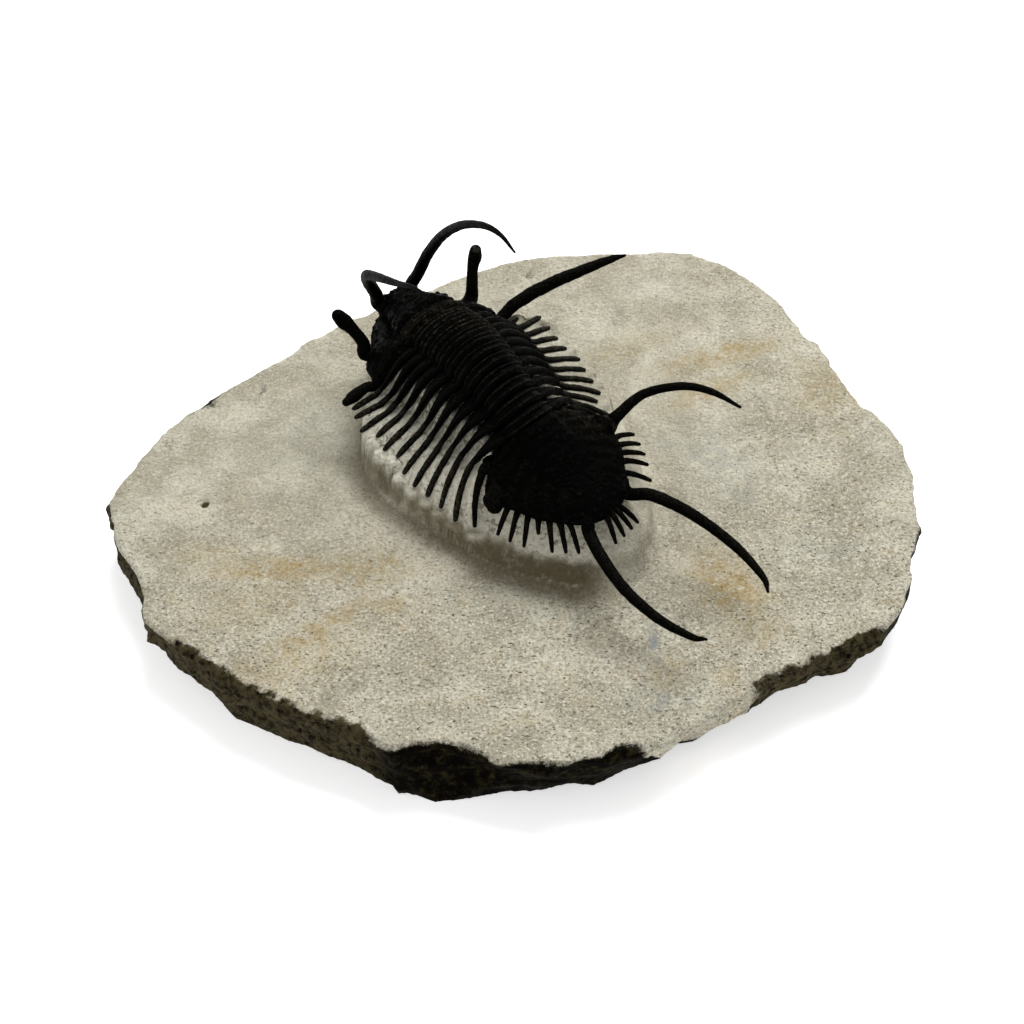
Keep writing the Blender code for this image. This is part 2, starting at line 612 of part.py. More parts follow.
def build_branches(parent):
    """All the long pieces that stand out from the head and the tail."""
    for side, word in ((-1.0, "left"), (1.0, "right")):
        right = side > 0
        base = surface_base(HORN_AT[0], side * HORN_AT[1], HORN_CLEARANCE)
        form = (RIGHT_HORN_COURSE if right else LEFT_HORN_COURSE, HORN_RADII)
        build_branch(f"{word}_horn", parent, base, HORN_S, side, form, 16)
        base = surface_base(STALK_AT[0], side * STALK_AT[1], STALK_CLEARANCE)
        form = (RIGHT_STALK_COURSE, RIGHT_STALK_RADII) if right else (LEFT_STALK_COURSE, LEFT_STALK_RADII)
        build_branch(f"{word}_eye_stalk", parent, base, STALK_S, side, form, 9)
        *base, s = edge_base(GENAL_STATION, side)
        form = (GENAL_COURSE, GENAL_RADII) if right else (GENAL_STUB_COURSE, GENAL_STUB_RADII)
        build_branch(f"{word}_genal_spine", parent, base, s, side, form, 9)
        *base, s = edge_base(FRONT_SPINE_STATION if right else STUMP_STATION, side)
        form = (FRONT_SPINE_COURSE, FRONT_SPINE_RADII) if right else (STUMP_COURSE, STUMP_RADII)
        build_branch(f"{word}_front_tail_spine", parent, base, s, side, form, 13 if right else 4)
        *base, s = edge_base(REAR_SPINE_STATION, side)
        form = (RIGHT_REAR_SPINE_COURSE if right else LEFT_REAR_SPINE_COURSE, REAR_SPINE_RADII)
        build_branch(f"{word}_rear_tail_spine", parent, base, s, side, form, 13)


def slab_height(x, y):
    """Gentle waves of the slab's upper side."""
    wave = math.sin(x / 17.0 + 0.6) * math.cos(y / 21.0 - 0.4) + 0.5 * math.sin((x + y) / 11.0)
    return SLAB_THICKNESS + SLAB_WAVE * wave


def mound_core(stations, shares):
    """Rows of points over the core of stone that fills the shell from below."""
    rows = []
    for u in stations:
        depth = MOUND_DEPTH_TAIL if u > SEGMENTS + 1 else MOUND_DEPTH
        rows.append([shell_point(u, v) - shell_normal(u, v) * depth for v in shares])
    return rows


def mound_wall(u, v, end):
    """Rim, waist and foot of the mound's wall at u and v; end is -1 in front, 1 at the rear."""
    s, p, z, spread = smooth(RIM, u)
    place = body(s + end * RIM_BULGE * (1.0 - v**2), v * p, z)
    core = body(MOUND_CORE[end + 1], 0.0, z)
    outward = Vector((place.x - core.x, place.y - core.y, 0.0)).normalized()
    waist = place + outward * (WALL_LEAN * spread)
    waist.z = SLAB_THICKNESS + WALL_WAIST * (place.z - SLAB_THICKNESS)
    foot = place + outward * spread
    foot.z = slab_height(foot.x, foot.y)
    return place, waist, foot


def build_matrix():
    """The slab and the mound, which are one stone."""
    bm = bmesh.new()
    stations = [*MOUND_HEAD_STATIONS, *(k + 0.5 for k in range(1, SEGMENTS + 1)), *MOUND_TAIL_STATIONS]
    shares = both_sides(MOUND_SHARES)
    grid = [[bm.verts.new(point) for point in row] for row in mound_core(stations, shares)]
    for a, b in zip(grid, grid[1:]):
        for j in range(len(shares) - 1):
            bm.faces.new((a[j], a[j + 1], b[j + 1], b[j]))
    last_u, last_v = len(stations) - 1, len(shares) - 1
    border = [(i, last_v) for i in range(last_u)] + [(last_u, j) for j in range(last_v, 0, -1)]
    border += [(i, 0) for i in range(last_u, 0, -1)] + [(0, j) for j in range(last_v)]
    loops = [[grid[i][j] for i, j in border]]
    walls = [mound_wall(stations[i], shares[j], (i == last_u) - (i == 0)) for i, j in border]
    loops += [[bm.verts.new(point) for point in level] for level in zip(*walls)]
    for a, b in zip(loops, loops[1:]):
        for k in range(len(a)):
            n = (k + 1) % len(a)
            bm.faces.new((a[k], a[n], b[n], b[k]))
    edge = [bm.verts.new((x, y, slab_height(x, y) - EDGE_FALL)) for x, y in SLAB_OUTLINE]
    fill_top(bm, edge, loops[-1])
    build_slab_side(bm, edge)
    return new_object("matrix_slab", bm, Vector(), None, STONE, 0.85)


def outside(point, loop, margin):
    """Whether a point in plan lies outside a closed loop and at least margin from it."""
    x, y = point
    inside = False
    for (x0, y0), (x1, y1) in zip(loop, loop[1:] + loop[:1]):
        if (y0 > y) != (y1 > y) and x < (x1 - x0) * (y - y0) / (y1 - y0) + x0:
            inside = not inside
        if math.hypot(x - x0, y - y0) < margin:
            return False
    return not inside


def fill_top(bm, edge, foot):
    """The slab's upper side between its edge and the foot of the mound."""
    foot_plan = [(vert.co.x, vert.co.y) for vert in foot]
    free = [(x * share, y * share) for share, step in TOP_RINGS for x, y in SLAB_OUTLINE[::step]]
    free = [point for point in free if outside(point, foot_plan, TOP_RING_MARGIN)]
    known = edge + foot
    points = [vert.co.xy for vert in known] + [Vector(point) for point in free]
    count, size = len(edge), len(foot)
    borders = [(k, (k + 1) % count) for k in range(count)]
    borders += [(count + k, count + (k + 1) % size) for k in range(size)]
    flat, _, faces, origins, _, _ = delaunay_2d_cdt(points, borders, [], 1, 1e-5)
    verts = []
    for point, source in zip(flat, origins):
        if source[0] < len(known):
            verts.append(known[source[0]])
        else:
            verts.append(bm.verts.new((point.x, point.y, slab_height(point.x, point.y))))
    for face in faces:
        centre = sum((flat[k] for k in face), Vector((0.0, 0.0))) / len(face)
        if outside(centre, foot_plan, 0.0):
            bm.faces.new([verts[k] for k in face])


def build_slab_side(bm, edge):
    """The broken side of the slab and its flat underside."""
    upper = edge
    for height, share, rough in SIDE_LEVELS:
        ring = []
        for k, (x, y) in enumerate(SLAB_OUTLINE):
            length = math.hypot(x, y)
            inset = straight(UNDERCUT, math.degrees(math.atan2(y, x)) % 360.0) * share
            inset += rough * math.sin(2.3 * k + height)
            scale = (length - max(inset, 0.0)) / length
            level = height + (SIDE_WAVE * math.sin(1.7 * k) if height else 0.0)
            ring.append(bm.verts.new((x * scale, y * scale, level)))
        for k in range(len(ring)):
            n = (k + 1) % len(ring)
            bm.faces.new((upper[k], upper[n], ring[n], ring[k]))
        upper = ring
    bm.faces.new(upper)


def main():
    """Build every piece."""
    for piece in list(bpy.data.objects):
        bpy.data.objects.remove(piece)
    build_matrix()
    trilobite = bpy.data.objects.new("trilobite", None)
    trilobite.location = Vector((0.0, 0.0, SLAB_THICKNESS * MM))
    bpy.context.scene.collection.objects.link(trilobite)
    build_head(trilobite)
    for index in range(1, SEGMENTS + 1):
        build_segment(index, trilobite)
    build_tail(trilobite)
    build_branches(trilobite)


main()
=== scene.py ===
"""Looks of a spiny black trilobite fossil on its block of pale, sandy matrix.

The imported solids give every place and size. Each class below makes one part of the
fossil in fine detail over its solid and dresses it in a finish made of shader nodes.
Lengths in the tables are in millimetres and become metres when a mesh is made.
"""

import logging
import math
from collections.abc import Iterable, Sequence
from dataclasses import dataclass, field
from enum import Enum

import bmesh
import bpy
import numpy as np
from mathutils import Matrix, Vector, noise
from mathutils.kdtree import KDTree


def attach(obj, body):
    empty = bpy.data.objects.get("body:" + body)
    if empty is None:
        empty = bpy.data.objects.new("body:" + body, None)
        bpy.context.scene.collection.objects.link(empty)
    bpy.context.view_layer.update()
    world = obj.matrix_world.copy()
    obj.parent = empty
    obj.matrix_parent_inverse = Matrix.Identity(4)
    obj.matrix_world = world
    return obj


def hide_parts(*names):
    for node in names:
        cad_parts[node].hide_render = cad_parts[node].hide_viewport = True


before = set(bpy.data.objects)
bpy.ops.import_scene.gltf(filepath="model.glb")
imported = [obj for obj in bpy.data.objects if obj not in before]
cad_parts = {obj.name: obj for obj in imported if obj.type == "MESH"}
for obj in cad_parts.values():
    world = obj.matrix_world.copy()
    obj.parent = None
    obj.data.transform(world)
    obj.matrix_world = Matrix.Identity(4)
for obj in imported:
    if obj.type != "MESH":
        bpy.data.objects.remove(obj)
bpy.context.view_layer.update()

MM = 0.001
ROOT = "root"
log = logging.getLogger("fossil")

Points = np.ndarray
Colour = tuple[float, float, float]
Course = Sequence[tuple[float, float, float]]
Faces = Sequence[tuple[int, ...]]
Socket = bpy.types.NodeSocket


class Side(Enum):
    """The animal's two sides, with the sign of their outward direction."""

    LEFT = -1.0
    RIGHT = 1.0

    @property
    def word(self) -> str:
        """The side's name in lower case."""
        return self.name.lower()


class Slot(Enum):
    """Names of the record's material slots for the fossil's finishes."""

    MATRIX = "matrix_stone"
    SHIELD = "fossil_shield"
    THORAX = "fossil_thorax"
    SPINE = "fossil_spine"


def smooth(keys: Points, places: Points) -> Points:
    """Values of a smooth curve through keys.

    Args:
        keys: rows of a place followed by the values there, places rising.
        places: where the curve is read.

    Returns:
        One row of values for each place.
    """
    keys = np.asarray(keys, float)
    t = np.atleast_1d(np.asarray(places, float))
    k = np.clip(np.searchsorted(keys[:, 0], t, side="left") - 1, 0, len(keys) - 2)
    last = len(keys) - 1
    before, a, b, after = (keys[np.clip(k + j, 0, last)] for j in (-1, 0, 1, 2))
    span = (b[:, 0] - a[:, 0])[:, None]
    w = (t - a[:, 0])[:, None] / span
    slope_a = (b - before)[:, 1:] / np.maximum(b[:, :1] - before[:, :1], 1e-6) * span
    slope_b = (after - a)[:, 1:] / np.maximum(after[:, :1] - a[:, :1], 1e-6) * span
    start, end = 2 * w**3 - 3 * w**2 + 1, 3 * w**2 - 2 * w**3
    return start * a[:, 1:] + (w**3 - 2 * w**2 + w) * slope_a + end * b[:, 1:] + (w**3 - w**2) * slope_b


def step(low: float, high: float, values: Points) -> Points:
    """Soft step from 0 at low to 1 at high."""
    t = np.clip((values - low) / (high - low), 0.0, 1.0)
    return t * t * (3.0 - 2.0 * t)


def hump(values: Points, middle: float, width: float) -> Points:
    """Bell of height 1 round a middle."""
    return np.exp(-(((values - middle) / width) ** 2))


def unit(vectors: Points) -> Points:
    """Rows scaled to a length of 1."""
    return vectors / np.maximum(np.linalg.norm(vectors, axis=-1, keepdims=True), 1e-9)


def lumps(points: Points, size: float, octaves: int = 2, seed: float = 0.0) -> Points:
    """Fractal noise at points, from about -1 to 1.

    Args:
        points: places in millimetres, one a row.
        size: how far apart the largest lumps are.
        octaves: how many finer layers are added.
        seed: shift of the pattern, so that each use differs.

    Returns:
        One value for each point.
    """
    shift = Vector((seed, 1.7 * seed, -0.6 * seed))
    rows = (points / size).reshape(-1, 3)
    values = [noise.fractal(Vector(row) + shift, 1.0, 2.0, octaves) for row in rows]
    return np.array(values).reshape(points.shape[:-1])


def warts(points: Points, pitch: float, share: float = 0.42, seed: float = 0.0) -> Points:
    """Round bumps of different sizes scattered over a surface, from 0 to 1.

    Args:
        points: places in millimetres, one a row.
        pitch: how far apart the bumps are.
        share: radius of a bump as a share of the pitch.
        seed: shift of the pattern.

    Returns:
        One height for each point.
    """
    heights = []
    for row in (points / pitch).reshape(-1, 3):
        distances, centres = noise.voronoi(Vector(row) + Vector((seed, seed, seed)))
        size = 0.55 + 0.45 * math.sin(12.9898 * centres[0].x + 78.233 * centres[0].y + 37.7 * centres[0].z)
        heights.append(max(1.0 - (distances[0] / (share * (0.6 + 0.6 * size))) ** 2, 0.0) * size)
    return np.array(heights).reshape(points.shape[:-1])


@dataclass(frozen=True)
class BodyLine:
    """The animal's mid line, with the directions out, back and up along it."""

    thorax_front: tuple[float, float] = (-9.2, 17.3)
    head_heading: float = 33.0
    tail_turn: float = 0.0100
    tail_end: float = 38.7
    lean: float = math.radians(6.0)
    lean_height: float = 16.0
    reach: tuple[float, float] = (-24.0, 60.0)
    pace: float = 0.05

    def heading(self, s: Points) -> Points:
        """Direction of the tail at s, in radians from straight forward."""
        return np.radians(self.head_heading + self.tail_turn * np.clip(s, 0.0, self.tail_end) ** 2)

    def mid_line(self, s: Points) -> tuple[Points, Points]:
        """Plan place of the mid line at s.

        Args:
            s: distance behind the front of the thorax.

        Returns:
            x and y in millimetres.
        """
        grid = np.arange(self.reach[0], self.reach[1], self.pace)
        angle = self.heading(grid + 0.5 * self.pace)
        x, y = np.cumsum(np.sin(angle)) * self.pace, -np.cumsum(np.cos(angle)) * self.pace
        ends = grid + self.pace
        x0, y0 = np.interp(0.0, ends, x), np.interp(0.0, ends, y)
        return (
            self.thorax_front[0] + np.interp(s, ends, x) - x0,
            self.thorax_front[1] + np.interp(s, ends, y) - y0,
        )

    def axes(self, s: Points) -> tuple[Points, Points, Points]:
        """Directions outwards to the right, back and up at s.

        Args:
            s: places along the mid line.

        Returns:
            Three arrays of unit vectors.
        """
        angle = self.heading(np.asarray(s, float))
        zero = np.zeros_like(angle)
        side = np.stack((np.cos(angle), np.sin(angle), zero), -1)
        back = np.stack((np.sin(angle), -np.cos(angle), zero), -1)
        up = np.array((0.0, 0.0, 1.0))
        cos, sin = math.cos(self.lean), math.sin(self.lean)
        return side * cos + up * sin, back, up * cos - side * sin

    def place(self, s: Points, p: Points, z: Points) -> Points:
        """World place of a point of the body frame.

        Args:
            s: distance behind the front of the thorax.
            p: distance to the right of the mid line.
            z: height over the slab's underside before the lean.

        Returns:
            Places in millimetres, one a row.
        """
        s, p, z = np.broadcast_arrays(*(np.asarray(a, float) for a in (s, p, z)))
        out, _, up = self.axes(s)
        x, y = self.mid_line(s)
        middle = np.stack((x, y, np.full_like(x, self.lean_height)), -1)
        return middle + out * p[..., None] + up * (z - self.lean_height)[..., None]


STATIONS = np.array((
    (-6.0, -15.6, 19.8, -15.5, 1.6, 19.0), (-5.0, -14.6, 22.2, -14.2, 4.4, 18.8),
    (-4.0, -12.6, 23.6, -12.0, 6.4, 18.9), (-3.0, -10.0, 25.0, -9.4, 8.0, 19.2),
    (-2.0, -7.0, 26.8, -6.8, 10.0, 19.6), (-1.0, -4.0, 28.6, -4.2, 11.2, 20.6),
    (0.0, -1.2, 30.0, -1.8, 10.8, 21.8), (1.0, 0.8, 30.9, -0.2, 10.5, 21.3),
    (2.0, 3.0, 31.8, 1.6, 10.3, 20.9), (4.0, 7.4, 32.8, 5.6, 9.9, 21.9),
    (6.0, 11.8, 33.1, 9.8, 9.1, 21.9), (8.0, 16.3, 32.3, 13.6, 8.4, 21.8),
    (10.0, 20.8, 30.2, 17.2, 7.7, 22.2), (11.0, 23.0, 28.6, 19.2, 7.6, 22.4),
    (12.0, 25.2, 27.0, 21.8, 8.2, 22.4), (13.0, 27.4, 25.7, 24.8, 9.5, 22.1),
    (14.0, 29.8, 24.7, 28.2, 10.1, 21.6), (15.0, 32.5, 23.8, 32.0, 8.9, 21.2),
    (16.0, 35.2, 23.0, 35.2, 6.7, 20.9), (17.0, 37.5, 22.1, 37.8, 4.4, 20.7),
    (18.0, 39.0, 21.2, 39.1, 1.8, 20.5),
))
ARCH = np.array((
    (0.0, 0.0), (0.28, 0.07), (0.44, 0.22), (0.53, 0.37), (0.64, 0.44), (0.80, 0.63), (1.0, 1.0),
))


@dataclass(frozen=True)
class Shell:
    """The animal's plain shell, read at a station along it and a share of its half width."""

    line: BodyLine = BodyLine()
    arch_ends: float = 12.5
    arch_gone: float = 16.5
    cheek_pressed: float = 0.12
    pressed_from: tuple[float, float] = (-5.5, 1.5)
    pressed_to: tuple[float, float] = (2.3, 1.8)
    probe: float = 0.03

    def pressed(self, u: Points) -> Points:
        """How far the right cheek is pressed in at station u, as a share of its width.

        Args:
            u: station along the body.

        Returns:
            Share of the width, 0 where nothing is pressed in.
        """
        start = np.clip((u - self.pressed_from[0]) / self.pressed_from[1], 0.0, 1.0)
        end = np.clip((self.pressed_to[0] - u) / self.pressed_to[1], 0.0, 1.0)
        return self.cheek_pressed * start * end

    def point(self, u: Points, v: Points) -> Points:
        """Place on the shell's upper side.

        Args:
            u: station along the body.
            v: share of the way out, from -1 on the left to 1 on the right.

        Returns:
            Places in millimetres, in the shape of u and v.
        """
        u, v = np.broadcast_arrays(np.asarray(u, float), np.asarray(v, float))
        crest_s, crest_z, edge_s, edge_p, edge_z = smooth(STATIONS, u.ravel()).T.reshape(5, *u.shape)
        out = np.abs(v)
        arched = smooth(ARCH, np.minimum(out, 1.1).ravel())[:, 0].reshape(u.shape)
        flat = np.clip((u - self.arch_ends) / (self.arch_gone - self.arch_ends), 0.0, 1.0)
        drop = arched * (1.0 - flat) + out**2 * flat
        aside = v * edge_p * (1.0 - self.pressed(u) * (v > 0.0))
        s, z = crest_s + (edge_s - crest_s) * drop, crest_z + (edge_z - crest_z) * drop
        return self.line.place(s, aside, z)

    def normal(self, u: Points, v: Points) -> Points:
        """Direction straight out of the shell at u and v.

        Args:
            u: station along the body.
            v: share of the way out, from -1 on the left to 1 on the right.

        Returns:
            Unit vectors, one for each place.
        """
        h = self.probe
        along = self.point(u + h, v) - self.point(u - h, v)
        across = self.point(u, v + h) - self.point(u, v - h)
        return unit(np.cross(along, across))

    def edge(self, u: float) -> tuple[float, float, float]:
        """Body place (s, p, z) of the right edge at station u."""
        _, _, s, p, z = smooth(STATIONS, u)[0]
        return float(s), float(p), float(z)


SHELL = Shell()
HORN_AT = (-4.75, 0.44)
STALK_AT = (-1.85, 0.87)


def make_piece(name: str, points: Points, faces: Faces, layers: dict[str, Points]) -> bpy.types.Object:
    """A smooth shaded piece from points in millimetres.

    Args:
        name: the piece's name.
        points: one place a row.
        faces: point numbers of each face.
        layers: named values, one for each point, that a finish reads.

    Returns:
        The new object, in the scene.
    """
    mesh = bpy.data.meshes.new(name)
    mesh.from_pydata((np.asarray(points) * MM).tolist(), [], faces)
    mesh.update()
    tidy = bmesh.new()
    tidy.from_mesh(mesh)
    bmesh.ops.recalc_face_normals(tidy, faces=tidy.faces)
    tidy.to_mesh(mesh)
    tidy.free()
    mesh.shade_smooth()
    for layer, values in layers.items():
        values = np.asarray(values, np.float32).ravel()
        mesh.attributes.new(layer, "FLOAT", "POINT").data.foreach_set("value", values)
    piece = bpy.data.objects.new(name, mesh)
    bpy.context.scene.collection.objects.link(piece)
    return piece


def grid_faces(rows: int, columns: int, start: int = 0, closed: bool = False) -> Faces:
    """Quads of a grid of points whose rows follow each other.

    Args:
        rows: number of rows.
        columns: points in a row.
        start: number of the first point.
        closed: whether each row's last point joins its first.

    Returns:
        Four point numbers for each quad.
    """
    faces = []
    for i in range(rows - 1):
        for j in range(columns if closed else columns - 1):
            k = (j + 1) % columns
            faces.append((
                start + i * columns + j, start + i * columns + k,
                start + (i + 1) * columns + k, start + (i + 1) * columns + j,
            ))
    return faces


class Nodes:
    """A material's node tree, with short calls for the nodes that the finishes use."""

    def __init__(self, name: str) -> None:
        """Start a material with one shader.

        Args:
            name: the material's name.
        """
        self.material = bpy.data.materials.new(name)
        self.material.use_nodes = True
        self.tree = self.material.node_tree
        self.shader = self.tree.nodes["Principled BSDF"]
        self.where = self.tree.nodes.new("ShaderNodeTexCoord").outputs["Object"]

    def new(self, kind: str, **settings: object) -> bpy.types.Node:
        """A node of a kind, with its settings.

        Args:
            kind: the kind of node.
            settings: properties of the node.

        Returns:
            The new node.
        """
        node = self.tree.nodes.new(kind)
        for key, value in settings.items():
            setattr(node, key, value)
        return node

    def feed(self, socket: Socket, source: object) -> None:
        """Link a socket to another, or give it a value.

        Args:
            socket: the input.
            source: another node's output, or a value.
        """
        if isinstance(source, Socket):
            self.tree.links.new(source, socket)
        else:
            socket.default_value = source

    def grain(
        self, size: float, detail: float = 3.0, rough: float = 0.55, stretch: Sequence[float] = (1, 1, 1),
        turn: float = 0.0,
    ) -> Socket:
        """Noise whose lumps are about size millimetres apart, from 0 to 1.

        Args:
            size: distance between lumps.
            detail: number of finer layers.
            rough: strength of the finer layers.
            stretch: how many times longer the lumps are along each axis.
            turn: direction of the stretch in degrees about the upright axis.

        Returns:
            The noise's value.
        """
        mapping = self.new("ShaderNodeMapping")
        mapping.inputs["Scale"].default_value = [1.0 / k for k in stretch]
        mapping.inputs["Rotation"].default_value = (0.0, 0.0, math.radians(turn))
        self.feed(mapping.inputs["Vector"], self.where)
        node = self.new("ShaderNodeTexNoise")
        node.inputs["Scale"].default_value = 1.0 / (size * MM)
        node.inputs["Detail"].default_value = detail
        node.inputs["Roughness"].default_value = rough
        self.feed(node.inputs["Vector"], mapping.outputs["Vector"])
        return node.outputs["Fac"]

    def cells(self, size: float) -> Socket:
        """Cell pattern with cells about size millimetres apart.

        Args:
            size: distance between the middles of the cells.

        Returns:
            Distance from the nearest cell's middle.
        """
        node = self.new("ShaderNodeTexVoronoi", feature="F1")
        node.inputs["Scale"].default_value = 1.0 / (size * MM)
        self.feed(node.inputs["Vector"], self.where)
        return node.outputs["Distance"]

    def layer(self, name: str) -> Socket:
        """A value that the mesh carries."""
        return self.new("ShaderNodeAttribute", attribute_name=name).outputs["Fac"]

    def times(self, *factors: object) -> Socket:
        """Product of values, kept between 0 and 1.

        Args:
            factors: outputs or values.

        Returns:
            The product.
        """
        result = factors[0]
        for factor in factors[1:]:
            node = self.new("ShaderNodeMath", operation="MULTIPLY", use_clamp=True)
            self.feed(node.inputs[0], result)
            self.feed(node.inputs[1], factor)
            result = node.outputs[0]
        return result

    def sum(self, value: object, scale: object, more: object) -> Socket:
        """Value times scale, and more.

        Args:
            value: the output to scale.
            scale: what it is multiplied by.
            more: what is added.

        Returns:
            The result.
        """
        node = self.new("ShaderNodeMath", operation="MULTIPLY_ADD")
        for socket, given in zip(node.inputs, (value, scale, more)):
            self.feed(socket, given)
        return node.outputs[0]

    def ramp(self, value: object, low: float, high: float, start: float = 0.0, end: float = 1.0) -> Socket:
        """Value moved softly from one range to another.

        Args:
            value: the output to move.
            low: where the first range starts.
            high: where it ends.
            start: result at low.
            end: result at high.

        Returns:
            The moved value.
        """
        node = self.new("ShaderNodeMapRange", interpolation_type="SMOOTHSTEP")
        for socket, given in zip(node.inputs, (value, low, high, start, end)):
            self.feed(socket, given)
        return node.outputs[0]

    def blend(self, share: object, a: object, b: object) -> Socket:
        """Mix of two colours.

        Args:
            share: how much of the second colour.
            a: the first colour.
            b: the second colour.

        Returns:
            The mixed colour.
        """
        node = self.new("ShaderNodeMix", data_type="RGBA")
        self.feed(node.inputs[0], share)
        for socket, given in ((node.inputs[6], a), (node.inputs[7], b)):
            self.feed(socket, (*given, 1.0) if isinstance(given, tuple) else given)
        return node.outputs[2]

    def bump(self, height: object, depth: float, below: object = None) -> Socket:
        """Relief of a depth in millimetres, over another relief if one is given.

        Args:
            height: the output that gives the relief.
            depth: its depth in millimetres.
            below: a relief that it lies on.

        Returns:
            The direction for the shader.
        """
        node = self.new("ShaderNodeBump")
        node.inputs["Distance"].default_value = depth * MM
        self.feed(node.inputs["Height"], height)
        if below is not None:
            self.feed(node.inputs["Normal"], below)
        return node.outputs["Normal"]


@dataclass(frozen=True)
class ShellFinish:
    """The black, slightly glossy mineral of the fossil shell, with a painted grey highlight on its crests
    and upper sides, painted glints in a few places, and pale stone dust in places.
    """

    name: str
    dark: Colour = (0.0010, 0.0010, 0.0009)
    # crest is the colour of the painted highlight on crests and upper sides; pale is the colour of painted
    # glints; dust is stone dust
    crest: Colour = (0.046, 0.043, 0.030)
    dust: Colour = (0.090, 0.080, 0.048)
    pale: Colour = (0.055, 0.053, 0.045)
    crest_highlight_strength: float = 0.55
    gloss: float = 0.02
    rough: tuple[float, float] = (0.42, 0.60)
    grain_depth: float = 0.05

    def make(self) -> bpy.types.Material:
        """The finish as a material.

        Returns:
            The material.
        """
        n = Nodes(self.name)
        broad = n.grain(2.2, 3.0, 0.6)
        fine = n.grain(0.32, 3.0, 0.65)
        # painted highlight: the crest layer lightens the crests where light would catch them
        painted_crest_highlight = n.times(n.layer("crest"), n.ramp(fine, 0.40, 0.62), n.ramp(broad, 0.38, 0.66, 0.35, 1.0))
        colour = n.blend(n.times(painted_crest_highlight, self.crest_highlight_strength), self.dark, self.crest)
        dusty = n.times(n.layer("dust"), n.ramp(fine, 0.42, 0.66))
        colour = n.blend(dusty, colour, self.dust)
        # painted glints: grey highlights painted where the pale layer is set
        painted_glint = n.times(n.layer("pale"), n.ramp(n.grain(0.5), 0.42, 0.58))
        colour = n.blend(painted_glint, colour, self.pale)
        n.feed(n.shader.inputs["Base Color"], colour)
        n.feed(n.shader.inputs["Roughness"], n.ramp(n.grain(0.9, 3.0), 0.35, 0.65, *self.rough))
        n.shader.inputs["Specular IOR Level"].default_value = self.gloss
        rise = n.bump(n.grain(0.22, 3.0, 0.7), self.grain_depth)
        n.feed(n.shader.inputs["Normal"], n.bump(n.grain(0.8, 2.0), self.grain_depth * 2.0, rise))
        return n.material


